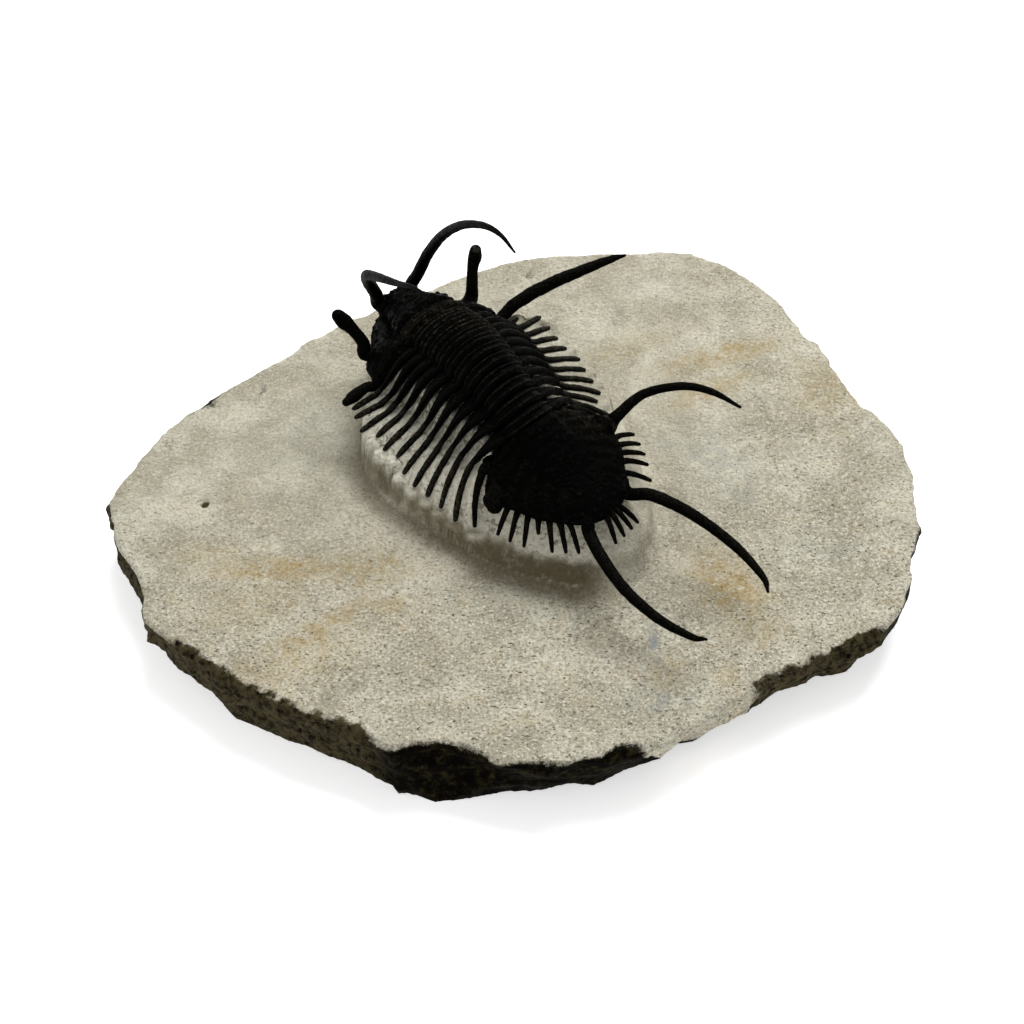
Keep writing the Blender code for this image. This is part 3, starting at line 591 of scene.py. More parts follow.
@dataclass(frozen=True)
class StoneFinish:
    """Pale sandy limestone with dark and white grains, ochre stains, a black-brown skin, and painted shade
    on the mound's near wall and round its foot.
    """

    name: str = "sandy_matrix"
    body: Colour = (0.525, 0.487, 0.376)
    shade: Colour = (0.205, 0.180, 0.118)
    bright: Colour = (0.800, 0.775, 0.650)
    ochre: Colour = (0.425, 0.305, 0.118)
    rust: Colour = (0.240, 0.110, 0.030)
    grey: Colour = (0.300, 0.315, 0.290)
    speck: Colour = (0.060, 0.048, 0.026)
    # wall: colour of the painted shade on the mound's near wall and of the painted shadow round its foot
    wall: Colour = (0.140, 0.115, 0.066)
    spot: Colour = (0.110, 0.075, 0.032)
    skin: Colour = (0.002, 0.0015, 0.0005)
    skin_brown: Colour = (0.026, 0.020, 0.008)
    skin_tan: Colour = (0.078, 0.063, 0.031)

    def make(self) -> bpy.types.Material:
        """The finish as a material.

        Returns:
            The material.
        """
        n = Nodes(self.name)
        coarse = n.layer("coarse")
        sand = n.grain(0.44, 3.0, 0.6)
        fine = n.grain(0.17, 2.0, 0.6)
        cloud = n.grain(9.0, 4.0, 0.6)
        mottle = n.grain(2.8, 5.0, 0.7)
        holes = n.grain(0.36, 2.0, 0.5, (1.9, 1.0, 1.0), 25.0)
        colour = n.blend(n.ramp(cloud, 0.35, 0.68), self.shade, self.bright)
        colour = n.blend(0.62, colour, self.body)
        colour = n.blend(n.times(n.ramp(mottle, 0.50, 0.66), n.sum(coarse, 0.30, 0.16)), colour, self.shade)
        warm = n.times(n.ramp(n.grain(4.6, 4.0, 0.7), 0.52, 0.68), n.sum(coarse, 0.42, -0.04))
        colour = n.blend(warm, colour, self.ochre)
        contrast = n.sum(coarse, 0.45, 0.24)
        colour = n.blend(n.times(n.ramp(sand, 0.48, 0.37), contrast), colour, self.shade)
        colour = n.blend(n.times(n.ramp(sand, 0.54, 0.64), contrast), colour, self.bright)
        colour = n.blend(n.times(n.ramp(holes, 0.385, 0.315), n.sum(coarse, 0.95, 0.10)), colour, self.speck)
        colour = n.blend(n.times(n.ramp(fine, 0.40, 0.62), 0.22), colour, self.bright)
        tint = n.times(n.layer("ochre"), n.ramp(n.grain(1.6, 5.0, 0.7), 0.38, 0.62, 0.25, 1.0))
        colour = n.blend(n.times(tint, 0.80), colour, self.ochre)
        rust = n.times(n.ramp(tint, 0.55, 0.95), n.ramp(n.grain(0.7, 3.0, 0.7), 0.52, 0.68))
        colour = n.blend(rust, colour, self.rust)
        colour = n.blend(n.times(n.layer("grey"), n.ramp(n.grain(2.4, 4.0), 0.35, 0.65)), colour, self.grey)
        spots = n.ramp(n.cells(1.15), 0.20, 0.08)
        pits = n.times(spots, n.ramp(coarse, 0.6, 0.9), n.ramp(n.grain(2.6, 2.0), 0.46, 0.60))
        colour = n.blend(n.times(pits, 0.9), colour, self.speck)
        # painted shade: the layer called wall darkens the mound's near wall and the slab round its foot
        wall = n.times(n.layer("wall"), n.ramp(n.grain(1.3, 5.0, 0.7), 0.25, 0.50, 0.62, 1.0))
        colour = n.blend(wall, colour, self.wall)
        rim = n.layer("rim")
        flecks = n.ramp(n.grain(0.75, 2.0, 0.6), 0.36, 0.58, 0.25, 1.0)
        colour = n.blend(n.times(rim, flecks), colour, self.bright)
        colour = n.blend(n.times(rim, n.ramp(n.grain(1.2, 3.0, 0.6), 0.57, 0.64), 0.6), colour, self.spot)
        skin = n.ramp(n.sum(n.grain(0.6, 5.0, 0.75), 0.75, n.layer("patina")), 0.66, 1.02)
        brown = n.blend(n.ramp(n.grain(1.4, 4.0, 0.7), 0.46, 0.70), self.skin, self.skin_brown)
        tan = n.times(n.layer("tan"), n.ramp(n.grain(1.0, 4.0, 0.7), 0.34, 0.62))
        n.feed(n.shader.inputs["Base Color"], n.blend(skin, colour, n.blend(tan, brown, self.skin_tan)))
        n.feed(n.shader.inputs["Roughness"], n.ramp(skin, 0.0, 1.0, 0.88, 0.62))
        n.shader.inputs["Specular IOR Level"].default_value = 0.02
        rise = n.bump(n.grain(0.22, 3.0, 0.7), 0.24)
        rise = n.bump(n.grain(0.55, 3.0, 0.6), 0.36, rise)
        n.feed(n.shader.inputs["Normal"], rise)
        return n.material


def dress_piece(piece: bpy.types.Object, material: bpy.types.Material, slot: Slot, *nodes: str) -> None:
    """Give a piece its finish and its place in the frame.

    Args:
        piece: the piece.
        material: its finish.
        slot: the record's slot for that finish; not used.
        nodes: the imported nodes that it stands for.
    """
    piece.data.materials.clear()
    piece.data.materials.append(material)
    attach(piece, ROOT)
    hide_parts(*nodes)


@dataclass(frozen=True)
class DustPatch:
    """A place on the shell where pale stone dust is left on the crests."""

    x: float
    y: float
    radius: float
    strength: float


DUST = (
    DustPatch(-8.5, 15.0, 6.5, 0.55),
    DustPatch(-3.5, 12.0, 5.0, 0.45),
    DustPatch(10.5, 5.0, 5.5, 0.50),
    DustPatch(-14.0, 17.5, 4.0, 0.30),
)


def dust_at(points: Points) -> Points:
    """How dusty the shell is at each point.

    Args:
        points: places in millimetres, one a row.

    Returns:
        A share from 0 to 1 for each point.
    """
    amount = np.zeros(len(points))
    for patch in DUST:
        away = np.hypot(points[:, 0] - patch.x, points[:, 1] - patch.y)
        amount = np.maximum(amount, patch.strength * np.exp(-((away / patch.radius) ** 2)))
    return amount


@dataclass
class Plate:
    """A closed plate of the shell with relief on its upper side."""

    name: str
    node: str
    stations: Points
    shares: Points
    thickness: float = 1.0

    def relief(self, u: Points, v: Points, points: Points) -> tuple[Points, Points]:
        """Rise over the plain shell, and how much of a crest each place is."""
        raise NotImplementedError

    def swell(self, u: Points, v: Points) -> Points:
        """How far the margin stands out past the plain shell, as a share of its half width."""
        return np.zeros_like(u)

    def build(self) -> bpy.types.Object:
        """The plate as a piece.

        Returns:
            The piece, in the scene.
        """
        u, v = np.meshgrid(self.stations, self.shares, indexing="ij")
        v = v * (1.0 + self.swell(u, v))
        plain, normal = SHELL.point(u, v), SHELL.normal(u, v)
        rise, crest = self.relief(u, v, plain)
        top = plain + normal * rise[..., None]
        under = plain - normal * self.thickness
        rows, columns = u.shape
        count = rows * columns
        faces = grid_faces(rows, columns) + grid_faces(rows, columns, count)
        border = [i * columns for i in range(rows)]
        border += [(rows - 1) * columns + j for j in range(1, columns)]
        border += [i * columns + columns - 1 for i in range(rows - 2, -1, -1)]
        border += [j for j in range(columns - 2, 0, -1)]
        for a, b in zip(border, border[1:] + border[:1]):
            faces.append((a, b, b + count, a + count))
        points = np.concatenate((top.reshape(-1, 3), under.reshape(-1, 3)))
        # the crest layer gives the crests a painted highlight; stone dust lies on the same crests
        layers = {
            "crest": np.concatenate((crest.ravel(), np.zeros(count))),
            "dust": dust_at(points) * np.concatenate((crest.ravel(), np.zeros(count))),
            "pale": np.zeros(2 * count),
        }
        return make_piece(self.name, points, faces, layers)

    def dress(self, piece: bpy.types.Object, finish: bpy.types.Material) -> None:
        """Finish the plate and give it its place in the frame."""
        dress_piece(piece, finish, Slot.SHIELD, self.node)


@dataclass
class HeadShield(Plate):
    """The head: swollen warty middle lobe, cheeks, sockets of horns and eyes, rear ring."""

    name: str = "head_shield"
    node: str = "cephalon"
    stations: Points = field(default_factory=lambda: np.linspace(-6.0, 0.42, 170))
    shares: Points = field(default_factory=lambda: np.linspace(-1.0, 1.0, 190))
    lobe_rise: float = 1.0
    furrow_depth: float = 0.40
    ring_rise: float = 0.40
    wart_rise: float = 0.42
    wart_pitch: float = 0.95
    sockets: tuple[tuple[tuple[float, float], tuple[float, float], float], ...] = (
        (STALK_AT, (0.60, 0.10), 0.9), (HORN_AT, (0.42, 0.12), 0.75),
    )

    def relief(self, u: Points, v: Points, points: Points) -> tuple[Points, Points]:
        """Rise over the plain shell, and how much of a crest each place is.

        Args:
            u: station along the body.
            v: share of the way out, from -1 on the left to 1 on the right.
            points: the same places on the plain shell.

        Returns:
            Rise in millimetres, and a share of crest from 0 to 1.
        """
        out = np.abs(v)
        lobe = np.sqrt(np.maximum(1.0 - (v / 0.50) ** 2, 0.0)) * step(-6.0, -4.6, u) * step(-0.75, -1.3, u)
        rise = self.lobe_rise * lobe
        rise -= self.furrow_depth * hump(out, 0.52, 0.035) * step(-5.2, -4.0, u)
        for station, start in ((-3.5, 0.24), (-2.3, 0.22)):
            groove = hump(u + 0.9 * (out - 0.35), station, 0.10)
            reach = step(start, start + 0.12, out) * step(0.56, 0.48, out)
            rise -= self.furrow_depth * 0.8 * groove * reach
        rise -= self.furrow_depth * hump(u, -0.92, 0.10)
        ring = step(-0.80, -0.66, u) * step(0.05, -0.08, u)
        rise += self.ring_rise * ring
        ridges = 0.5 + 0.5 * np.cos(2.0 * math.pi * (u + 0.36) / 0.30)
        rise += 0.14 * ridges * ring
        rise -= 0.35 * step(0.05, 0.42, u)
        for (station, share), (length, width), height in self.sockets:
            rise += height * hump(u, station, length) * hump(out, share, width)
        rise += 0.28 * hump(out, 0.965, 0.03) * step(-5.6, -4.6, u)
        cover = 1.0 - 0.75 * ring
        bumps = warts(points, self.wart_pitch, 0.46, 3.0)
        small = warts(points, self.wart_pitch * 0.5, 0.48, 9.0)
        rise += cover * (self.wart_rise * bumps + 0.12 * small)
        rise += 0.10 * lumps(points, 1.6, 2, 5.0)
        # crest share: warts and ring ridges that get the painted highlight
        crest = np.clip(0.9 * bumps + 0.45 * small * cover + 0.8 * ridges * ring, 0.0, 1.0)
        return rise, crest


@dataclass
class TailShield(Plate):
    """The tail: a short middle lobe, ribs that sweep out and back from it, and warts."""

    name: str = "tail_shield"
    node: str = "pygidium"
    stations: Points = field(default_factory=lambda: np.linspace(11.40, 18.0, 165))
    shares: Points = field(default_factory=lambda: np.linspace(-1.0, 1.0, 175))
    lobe_rise: float = 1.1
    rib_rise: float = 0.28
    wart_rise: float = 0.30
    wart_pitch: float = 0.90
    shoulder: float = 0.15
    fringe_highlight: float = 0.35

    def swell(self, u: Points, v: Points) -> Points:
        """The rounded shoulder at the root of the broken left spine."""
        return self.shoulder * hump(u, 13.30, 0.62) * step(0.70, 1.0, -v)

    def relief(self, u: Points, v: Points, points: Points) -> tuple[Points, Points]:
        """Rise over the plain shell, and how much of a crest each place is.

        Args:
            u: station along the body.
            v: share of the way out, from -1 on the left to 1 on the right.
            points: the same places on the plain shell.

        Returns:
            Rise in millimetres, and a share of crest from 0 to 1.
        """
        out = np.abs(v)
        along = np.maximum(1.0 - ((u - 12.4) / 2.6) ** 2, 0.0)
        rise = self.lobe_rise * np.sqrt(np.maximum(1.0 - (v / 0.42) ** 2, 0.0)) * along
        rings = 0.5 + 0.5 * np.cos(2.0 * math.pi * (u - 11.85) / 0.62)
        rise += 0.16 * rings * step(0.40, 0.30, out) * step(13.9, 13.3, u)
        swept = u - 1.5 * (out - 0.4) - 0.6 * (out - 0.4) ** 2
        ribs = 0.5 + 0.5 * np.cos(2.0 * math.pi * (swept - 12.1) / 0.78)
        field_of_ribs = step(0.36, 0.50, out) * step(1.0, 0.9, out) * step(16.6, 15.6, u)
        rise += self.rib_rise * ribs * field_of_ribs
        rise -= 0.30 * step(11.62, 11.40, u)
        rise += 0.22 * hump(out, 0.97, 0.03)
        rise += 0.55 * hump(u, 17.0, 0.40) * hump(out, 1.0, 0.30)
        rise += 0.45 * hump(u, 13.6, 0.45) * hump(out, 1.0, 0.12)
        bumps = warts(points, self.wart_pitch, 0.46, 13.0)
        small = warts(points, self.wart_pitch * 0.5, 0.48, 19.0)
        rise += self.wart_rise * bumps + 0.11 * small + 0.10 * lumps(points, 1.5, 2, 25.0)
        # crest share: warts and ribs that get the painted highlight
        crest = np.clip(0.85 * bumps + 0.35 * small + 0.5 * ribs * field_of_ribs, 0.0, 1.0)
        return rise, crest

    def build(self) -> bpy.types.Object:
        """The plate with the small spines of its edge as one piece.

        Returns:
            The piece, in the scene.
        """
        plate = super().build()
        points, faces = join_shells(rod.surface() for rod in TailFringe().rods())
        # the fringe's spines get an even painted highlight and a little stone dust
        crest = np.full(len(points), self.fringe_highlight)
        layers = {"crest": crest, "dust": 0.2 * crest, "pale": 0.0 * crest}
        fringe = make_piece("tail_fringe", points, faces, layers)
        with bpy.context.temp_override(active_object=plate, selected_editable_objects=[plate, fringe]):
            bpy.ops.object.join()
        return plate


@dataclass(frozen=True)
class Rod:
    """A tapered round piece along a smooth course, with a rounded tip."""

    course: Points
    radii: Sequence[float]
    sections: int = 80
    sides: int = 18
    lump: float = 0.06
    seed: float = 0.0
    tip_turns: tuple[float, ...] = (25.0, 48.0, 68.0, 82.0)

    def surface(self) -> tuple[Points, Faces]:
        """Points and faces of the closed rod.

        Returns:
            The points in millimetres, and the point numbers of each face.
        """
        keys = np.column_stack((np.arange(len(self.radii)), self.course, self.radii))
        samples = smooth(keys, np.linspace(0.0, len(self.radii) - 1.0, self.sections))
        path, radius = samples[:, :3], samples[:, 3]
        along = unit(np.gradient(path, axis=0))
        turns = np.radians(self.tip_turns)
        path = np.concatenate((path, path[-1] + along[-1] * (radius[-1] * np.sin(turns))[:, None]))
        along = np.concatenate((along, np.repeat(along[-1:], len(turns), axis=0)))
        radius = np.concatenate((radius, radius[-1] * np.cos(turns)))
        across = np.empty_like(path)
        current = np.array(Vector(along[0]).orthogonal())
        for k, direction in enumerate(along):
            current = current - direction * current.dot(direction)
            current /= np.linalg.norm(current)
            across[k] = current
        third = np.cross(along, across)
        turn = np.arange(self.sides) * 2.0 * math.pi / self.sides
        round_way = across[:, None] * np.cos(turn)[:, None] + third[:, None] * np.sin(turn)[:, None]
        ring = path[:, None] + round_way * radius[:, None, None]
        swell = self.lump * (lumps(ring, 1.3, 2, self.seed) + 0.6 * lumps(ring, 0.45, 1, self.seed + 7.0))
        ring = path[:, None] + round_way * (radius[:, None] * (1.0 + swell))[..., None]
        rows = len(path)
        faces = [*grid_faces(rows, self.sides, closed=True), tuple(range(self.sides))]
        faces.append(tuple(range((rows - 1) * self.sides, rows * self.sides)))
        return ring.reshape(-1, 3), faces


def join_shells(shells: Iterable[tuple[Points, Faces]]) -> tuple[Points, Faces]:
    """Several closed shells as one list of points and one of faces.

    Args:
        shells: points and faces of each shell.

    Returns:
        All the points, and faces that count through them.
    """
    points, faces, count = [], [], 0
    for some_points, some_faces in shells:
        points.append(some_points)
        faces += [tuple(k + count for k in face) for face in some_faces]
        count += len(some_points)
    return np.concatenate(points), faces


SPINE_LENGTHS = {
    Side.LEFT: (1.0, 1.05, 1.08, 0.88, 0.94, 0.84, 0.96, 0.99, 0.98, 1.0, 1.04, 1.0),
    Side.RIGHT: (0.5, 1.05, 1.0, 0.95, 0.95, 1.08, 1.02, 1.03, 1.04, 0.88, 1.0, 0.95),
}
SEGMENTS = 11


@dataclass(frozen=True)
class SideSpine:
    """Course of the side spine that a thorax segment, or the tail's front, ends in."""

    index: int
    side: Side
    reach: float = 16.3
    reach_fall: float = 0.107
    reach_curve: float = 0.0100
    middle: float = 12.0
    tip_height: float = 17.7
    tip_fall: float = 0.133
    pitch: float = 2.41
    foremost: float = -1.5
    sweep: float = 1.9
    bow: float = 2.2
    last_back: float = 0.5

    def place(self, share: Points) -> Points:
        """Places on the spine's axis.

        Args:
            share: how far out along the spine, from 0 at the plate's edge to 1 at the tip.

        Returns:
            Places in millimetres, one a row.
        """
        edge_s, edge_p, edge_z = SHELL.edge(self.index)
        if self.side is Side.RIGHT:
            edge_p *= 1.0 - float(SHELL.pressed(self.index))
        tip_s = max((self.index - 2) * self.pitch, self.foremost) + self.last_back * (self.index > SEGMENTS)
        behind = tip_s - self.middle
        reach = self.reach - self.reach_fall * behind - self.reach_curve * behind**2
        tip_z = self.tip_height - self.tip_fall * behind
        t = share * SPINE_LENGTHS[self.side][self.index - 1]
        return SHELL.line.place(
            edge_s + (tip_s - edge_s) * t**self.sweep,
            self.side.value * (edge_p + (reach - edge_p) * t),
            edge_z + (tip_z - edge_z) * t + self.bow * t * (1.0 - t),
        )

    def directions(self, share: Points) -> tuple[Points, Points, Points]:
        """Directions along the spine, backwards across it and up out of it.

        Args:
            share: how far out along the spine.

        Returns:
            Three arrays of unit vectors.
        """
        along = unit(np.gradient(self.place(share), axis=0))
        _, back, _ = SHELL.line.axes((self.index - 2) * self.pitch)
        width = unit(back - along * (along @ back)[:, None])
        rise = np.cross(width, along)
        return along, width, rise * np.sign(rise[:, 2:])


@dataclass
class ThoraxSegment:
    """One thorax plate: two fine ridges over the middle that merge into a side spine each way."""

    number: int
    front: float = -0.60
    rear: float = 0.47
    top_points: int = 33
    under_points: int = 9
    outlines_across: int = 79
    outlines_on_spine: int = 40
    thickness: float = 0.9
    ridge_rise: float = 0.46
    pleura_rise: float = 0.42
    furrow: float = 0.35
    narrows_from: float = 0.62
    narrowing: float = 0.62
    passage_from: float = 0.60
    passage_to: float = 0.45
    spine_radii: tuple[tuple[float, float], ...] = (
        (0.0, 0.44), (0.16, 0.45), (0.40, 0.48), (0.70, 0.47), (0.92, 0.43), (1.0, 0.34),
    )
    spine_sink: float = 0.42
    joined_until: float = 0.15

    def strip(self, v: Points) -> tuple[Points, Points]:
        """Outlines of the plate, cut along the body.

        Args:
            v: share of the way out of each cut.

        Returns:
            A closed outline for each cut, and how much of a crest each of its points is.
        """
        out = np.abs(v)[:, None]
        offset = np.linspace(self.front, self.rear, self.top_points)[None, :]
        pleura = step(0.42, 0.64, out)
        fore = hump(offset, -0.24, 0.075) * (self.ridge_rise - 0.34 * pleura)
        aft = hump(offset, 0.20, 0.085) * self.ridge_rise * (1.0 - pleura)
        broad = hump(offset, 0.10, 0.23) * self.pleura_rise * pleura
        height = fore + aft + broad - 0.60 * step(-0.36, -0.58, offset) - 0.22 * step(0.36, 0.47, offset)
        height = height - self.furrow * hump(out, 0.525, 0.045)
        outer = np.clip((out - self.narrows_from) / (1.0 - self.narrows_from), 0.0, 1.0)
        width = 1.0 - self.narrowing * outer
        station = self.number + offset * width
        share = np.broadcast_to(v[:, None], height.shape)
        plain, normal = SHELL.point(station, share), SHELL.normal(station, share)
        beads = warts(plain, 0.62, 0.5, 31.0)
        relief = height + 0.12 * beads * step(-0.40, -0.25, offset) + 0.05 * lumps(plain, 0.9, 2, 4.0)
        top = plain + normal * relief[..., None]
        low = np.linspace(self.rear - 0.04, self.front + 0.04, self.under_points)[None, :]
        station = self.number + low * width
        share = np.broadcast_to(v[:, None], station.shape)
        under = SHELL.point(station, share) - SHELL.normal(station, share) * self.thickness
        # crest share: ridge tops that get the painted highlight
        crest = np.clip((fore + aft + 0.6 * broad) / self.ridge_rise, 0.0, 1.0) ** 2.2 * (0.55 + 0.6 * beads)
        return (
            np.concatenate((top, under), axis=1),
            np.concatenate((crest, np.zeros((len(v), self.under_points))), axis=1),
        )

    def spine(self, side: Side) -> tuple[Points, Points]:
        """Outlines of one side spine from the plate's edge to its blunt tip, in step with the plate's.

        Args:
            side: the side that the spine is on.

        Returns:
            The outlines, and how much of a crest each of their points is.
        """
        share = np.linspace(0.0, 1.0, self.outlines_on_spine)[1:]
        course = SideSpine(self.number, side)
        places = course.place(share)
        along, width, rise = course.directions(share)
        wobble = lumps(places, 2.2, 2, 11.0 * self.number)
        radius = smooth(self.spine_radii, share)[:, 0] * (1.0 + 0.14 * wobble)
        turns = np.radians((28.0, 52.0, 72.0, 84.0))
        places = np.concatenate((places, places[-1] + along[-1] * (radius[-1] * np.sin(turns))[:, None]))
        radius = np.concatenate((radius, radius[-1] * np.cos(turns)))
        width, rise = (np.concatenate((a, np.repeat(a[-1:], len(turns), axis=0))) for a in (width, rise))
        share = np.concatenate((share, np.ones(len(turns))))
        angles = np.concatenate((
            np.linspace(math.pi, 0.0, self.top_points),
            np.linspace(0.0, -math.pi, self.under_points + 2)[1:-1],
        ))
        joined = step(0.0, self.joined_until, share)[:, None, None]
        across = width[:, None] * np.cos(angles)[:, None] + rise[:, None] * np.sin(angles)[:, None]
        centre = places - np.array((0.0, 0.0, self.spine_sink))
        round_ring = centre[:, None] + across * radius[:, None, None]
        edge_ring, edge_crest = self.strip(np.array([side.value]))
        flat_ring = edge_ring + (places - course.place(np.zeros(1)))[:, None]
        rings = flat_ring * (1.0 - joined) + round_ring * joined
        rings = rings + across * (0.045 * lumps(rings, 0.55, 2, 3.0 * self.number))[..., None] * joined
        # painted highlight along the spine's upper side, stronger towards its tip
        spine_top_highlight = np.clip(np.sin(angles), 0.0, 1.0)[None, :] * (0.35 + 0.65 * share[:, None])
        crest = edge_crest * (1.0 - joined[..., 0]) + spine_top_highlight * joined[..., 0]
        return rings, crest

    def passage(self, rings: Points, plate_rings: int) -> Points:
        """One side's outlines, moved so that the plate runs into its spine in an even curve.

        Args:
            rings: outlines from the middle of the plate to the spine's tip.
            plate_rings: how many of them are the plate's.

        Returns:
            The moved outlines.
        """
        first = int(plate_rings * self.passage_from)
        last = plate_rings + int(self.outlines_on_spine * self.passage_to)
        middle = rings.mean(axis=1)
        part = middle[first:last + 1]
        run = np.concatenate(([0.0], np.cumsum(np.linalg.norm(np.diff(part, axis=0), axis=1))))
        length = np.linalg.norm(part[-1] - part[0])
        start = unit(middle[first] - middle[first - 3]) * length
        end = unit(middle[last + 3] - middle[last]) * length
        w = (run / run[-1])[:, None]
        even = (
            (2 * w**3 - 3 * w**2 + 1) * part[0] + (w**3 - 2 * w**2 + w) * start
            + (3 * w**2 - 2 * w**3) * part[-1] + (w**3 - w**2) * end
        )
        moved = rings.copy()
        moved[first:last + 1] += (even - part)[:, None]
        return moved

    def build(self) -> bpy.types.Object:
        """The plate with both side spines as a piece.

        Returns:
            The piece, in the scene.
        """
        middle, middle_crest = self.strip(np.linspace(-1.0, 1.0, self.outlines_across))
        left, left_crest = self.spine(Side.LEFT)
        right, right_crest = self.spine(Side.RIGHT)
        half = self.outlines_across // 2
        left_half = self.passage(np.concatenate((middle[half::-1], left)), half + 1)
        right_half = self.passage(np.concatenate((middle[half:], right)), half + 1)
        rings = np.concatenate((left_half[:0:-1], right_half))
        crest = np.concatenate((left_crest[::-1], middle_crest, right_crest))
        rows, columns = crest.shape
        faces = [*grid_faces(rows, columns, closed=True), tuple(range(columns))]
        faces.append(tuple(range((rows - 1) * columns, rows * columns)))
        points = rings.reshape(-1, 3)
        on_spine = np.zeros((rows, columns))
        on_spine[:len(left)] = np.linspace(0.75, 0.15, len(left))[:, None]
        on_spine[-len(right):] = np.linspace(0.15, 0.75, len(right))[:, None]
        dust = np.maximum(dust_at(points), 0.55 * on_spine.ravel()) * crest.ravel()
        layers = {"crest": crest, "dust": dust, "pale": np.zeros(len(points))}
        return make_piece(f"thorax_plate_{self.number:02d}", points, faces, layers)

    def dress(self, piece: bpy.types.Object, finish: bpy.types.Material) -> None:
        """Finish the plate and give it its place in the frame."""
        dress_piece(piece, finish, Slot.THORAX, f"thorax_segment_{self.number:02d}")


@dataclass(frozen=True)
class TailFringe:
    """The small spines round the tail's edge and the first long pair in front of them."""

    first: float = 13.95
    last: float = 16.62
    runs: int = 14
    taken: dict[Side, tuple[int, ...]] = field(default_factory=lambda: {
        Side.LEFT: (0, 2, 4, 6, 8, 10, 12), Side.RIGHT: (2, 4, 6, 8, 11),
    })
    length: dict[Side, float] = field(default_factory=lambda: {Side.LEFT: 3.2, Side.RIGHT: 4.1})
    drop: float = 2.5
    turn: dict[Side, tuple[float, float, float]] = field(default_factory=lambda: {
        Side.LEFT: (0.60, 0.36, 0.90), Side.RIGHT: (0.30, -0.15, 0.95),
    })
    broken: tuple[Side, int] = (Side.LEFT, 6)
    broken_share: float = 0.5
    rear_station: float = 18.0
    rear_shares: tuple[float, ...] = (-0.78, -0.27, 0.27, 0.78)
    half_thickness: float = 0.55
    radii: tuple[float, ...] = (0.62, 0.50, 0.42, 0.36, 0.26)
    front_radii: tuple[float, ...] = (0.95, 0.80, 0.62, 0.54, 0.48, 0.42, 0.32)

    def spine(self, start: Points, outward: Points, length: float, share_left: float, seed: float) -> Rod:
        """One small spine that falls as it goes out.

        Args:
            start: middle of its root.
            outward: direction out.
            length: its whole length.
            share_left: how much of it isn't broken off.
            seed: shift of its lumps.

        Returns:
            The spine.
        """
        steps = np.array((-0.35, 0.0, 0.35, 0.75, 1.0)) * share_left
        fall = np.array((0.0, 0.0, -self.drop)) * np.sign(steps)[:, None] * np.abs(steps)[:, None] ** 1.5
        fall[0] = 0.0
        course = start + outward * (length * steps)[:, None] + fall
        return Rod(course, self.radii, sections=26, sides=12, lump=0.10, seed=seed)

    def rods(self) -> list[Rod]:
        """Every spine of the fringe.

        Returns:
            The spines.
        """
        rods = []
        pace = (self.last - self.first) / self.runs
        for side in Side:
            narrowing, back_start, back_turn = self.turn[side]
            for k in self.taken[side]:
                u = self.first + pace * (k + 0.5)
                out, back, _ = SHELL.line.axes(SHELL.edge(u)[0])
                splay = k / self.runs
                outward = out * (side.value * (1.0 - narrowing * splay))
                outward = unit(outward + back * (back_start + back_turn * splay))
                left = self.broken_share if (side, k) == self.broken else 1.0
                rods.append(self.spine(self.wall(u, side.value), outward, self.length[side], left, 3.0 * k))
            course = SideSpine(SEGMENTS + 1, side)
            root = 0.5 * (self.wall(11.9, 0.86 * side.value) + course.place(np.zeros(1))[0])
            places = np.vstack((root, course.place(np.array((0.06, 0.2, 0.4, 0.6, 0.8, 1.0)))))
            rods.append(Rod(places, self.front_radii, sections=50, sides=16, lump=0.10, seed=5.0))
        out, back, _ = SHELL.line.axes(SHELL.line.tail_end)
        for share in self.rear_shares:
            outward = unit(back + out * (0.5 * share))
            start = self.wall(self.rear_station, share)
            rods.append(self.spine(start, outward, self.length[Side.LEFT], 1.0, 40.0 * share))
        return rods

    def wall(self, u: float, v: float) -> Points:
        """Middle of the tail's edge wall."""
        return (SHELL.point(u, v) - SHELL.normal(u, v) * self.half_thickness).reshape(3)


# a span past the branch's end, so that it gets no painted glint
NO_GLINT = (2.0, 2.0)


@dataclass(frozen=True)
class Branch:
    """A horn, stalk or long spine: a course of (out, back, up) steps from a place on the shell."""

    name: str
    node: str
    side: Side
    start: Points
    direction: Points
    s: float
    course: Course
    radii: Sequence[float]
    root: float = 0.9
    sunk: float = 1.3
    flare: float = 1.25
    # span along the branch, as shares of its length, that gets a painted glint on its upper side
    pale: tuple[float, float] = NO_GLINT
    glint_fade: float = 0.06
    sections: int = 110
    sides: int = 22
    lump: float = 0.05

    def build(self) -> bpy.types.Object:
        """The branch as a piece.

        Returns:
            The piece, in the scene.
        """
        out, back, up = SHELL.line.axes(self.s)
        steps = np.array(self.course)
        places = self.start + out * (self.side.value * steps[:, :1])
        places = places + back * steps[:, 1:2] + up * steps[:, 2:]
        inwards, outwards = -self.direction * self.sunk, self.direction * self.root
        course = np.vstack((self.start + inwards, self.start, self.start + outwards, places[1:]))
        wide = self.radii[0]
        radii = (wide * self.flare**2, wide * self.flare, wide, *self.radii[1:])
        rod = Rod(course, radii, self.sections, self.sides, self.lump, 17.0 * abs(self.s))
        points, faces = rod.surface()
        share = np.repeat(np.linspace(0.0, 1.0, len(points) // self.sides), self.sides)
        # painted highlight on each branch's upper side through the crest layer, painted glints over the span
        # given by pale, and a little stone dust on top
        upper = np.clip(unit(points - np.repeat(self.axis(points), self.sides, axis=0))[:, 2], 0.0, 1.0)
        low, high = self.pale
        pale = step(low, low + self.glint_fade, share) * step(high, high - self.glint_fade, share)
        layers = {"crest": upper * 0.4, "dust": 0.06 * upper, "pale": 0.8 * pale * upper}
        return make_piece(self.name, points, faces, layers)

    def axis(self, points: Points) -> Points:
        """Middle of each ring of points."""
        return points.reshape(-1, self.sides, 3).mean(axis=1)

    def dress(self, piece: bpy.types.Object, finish: bpy.types.Material) -> None:
        """Finish the branch and give it its place in the frame."""
        dress_piece(piece, finish, Slot.SPINE, self.node)


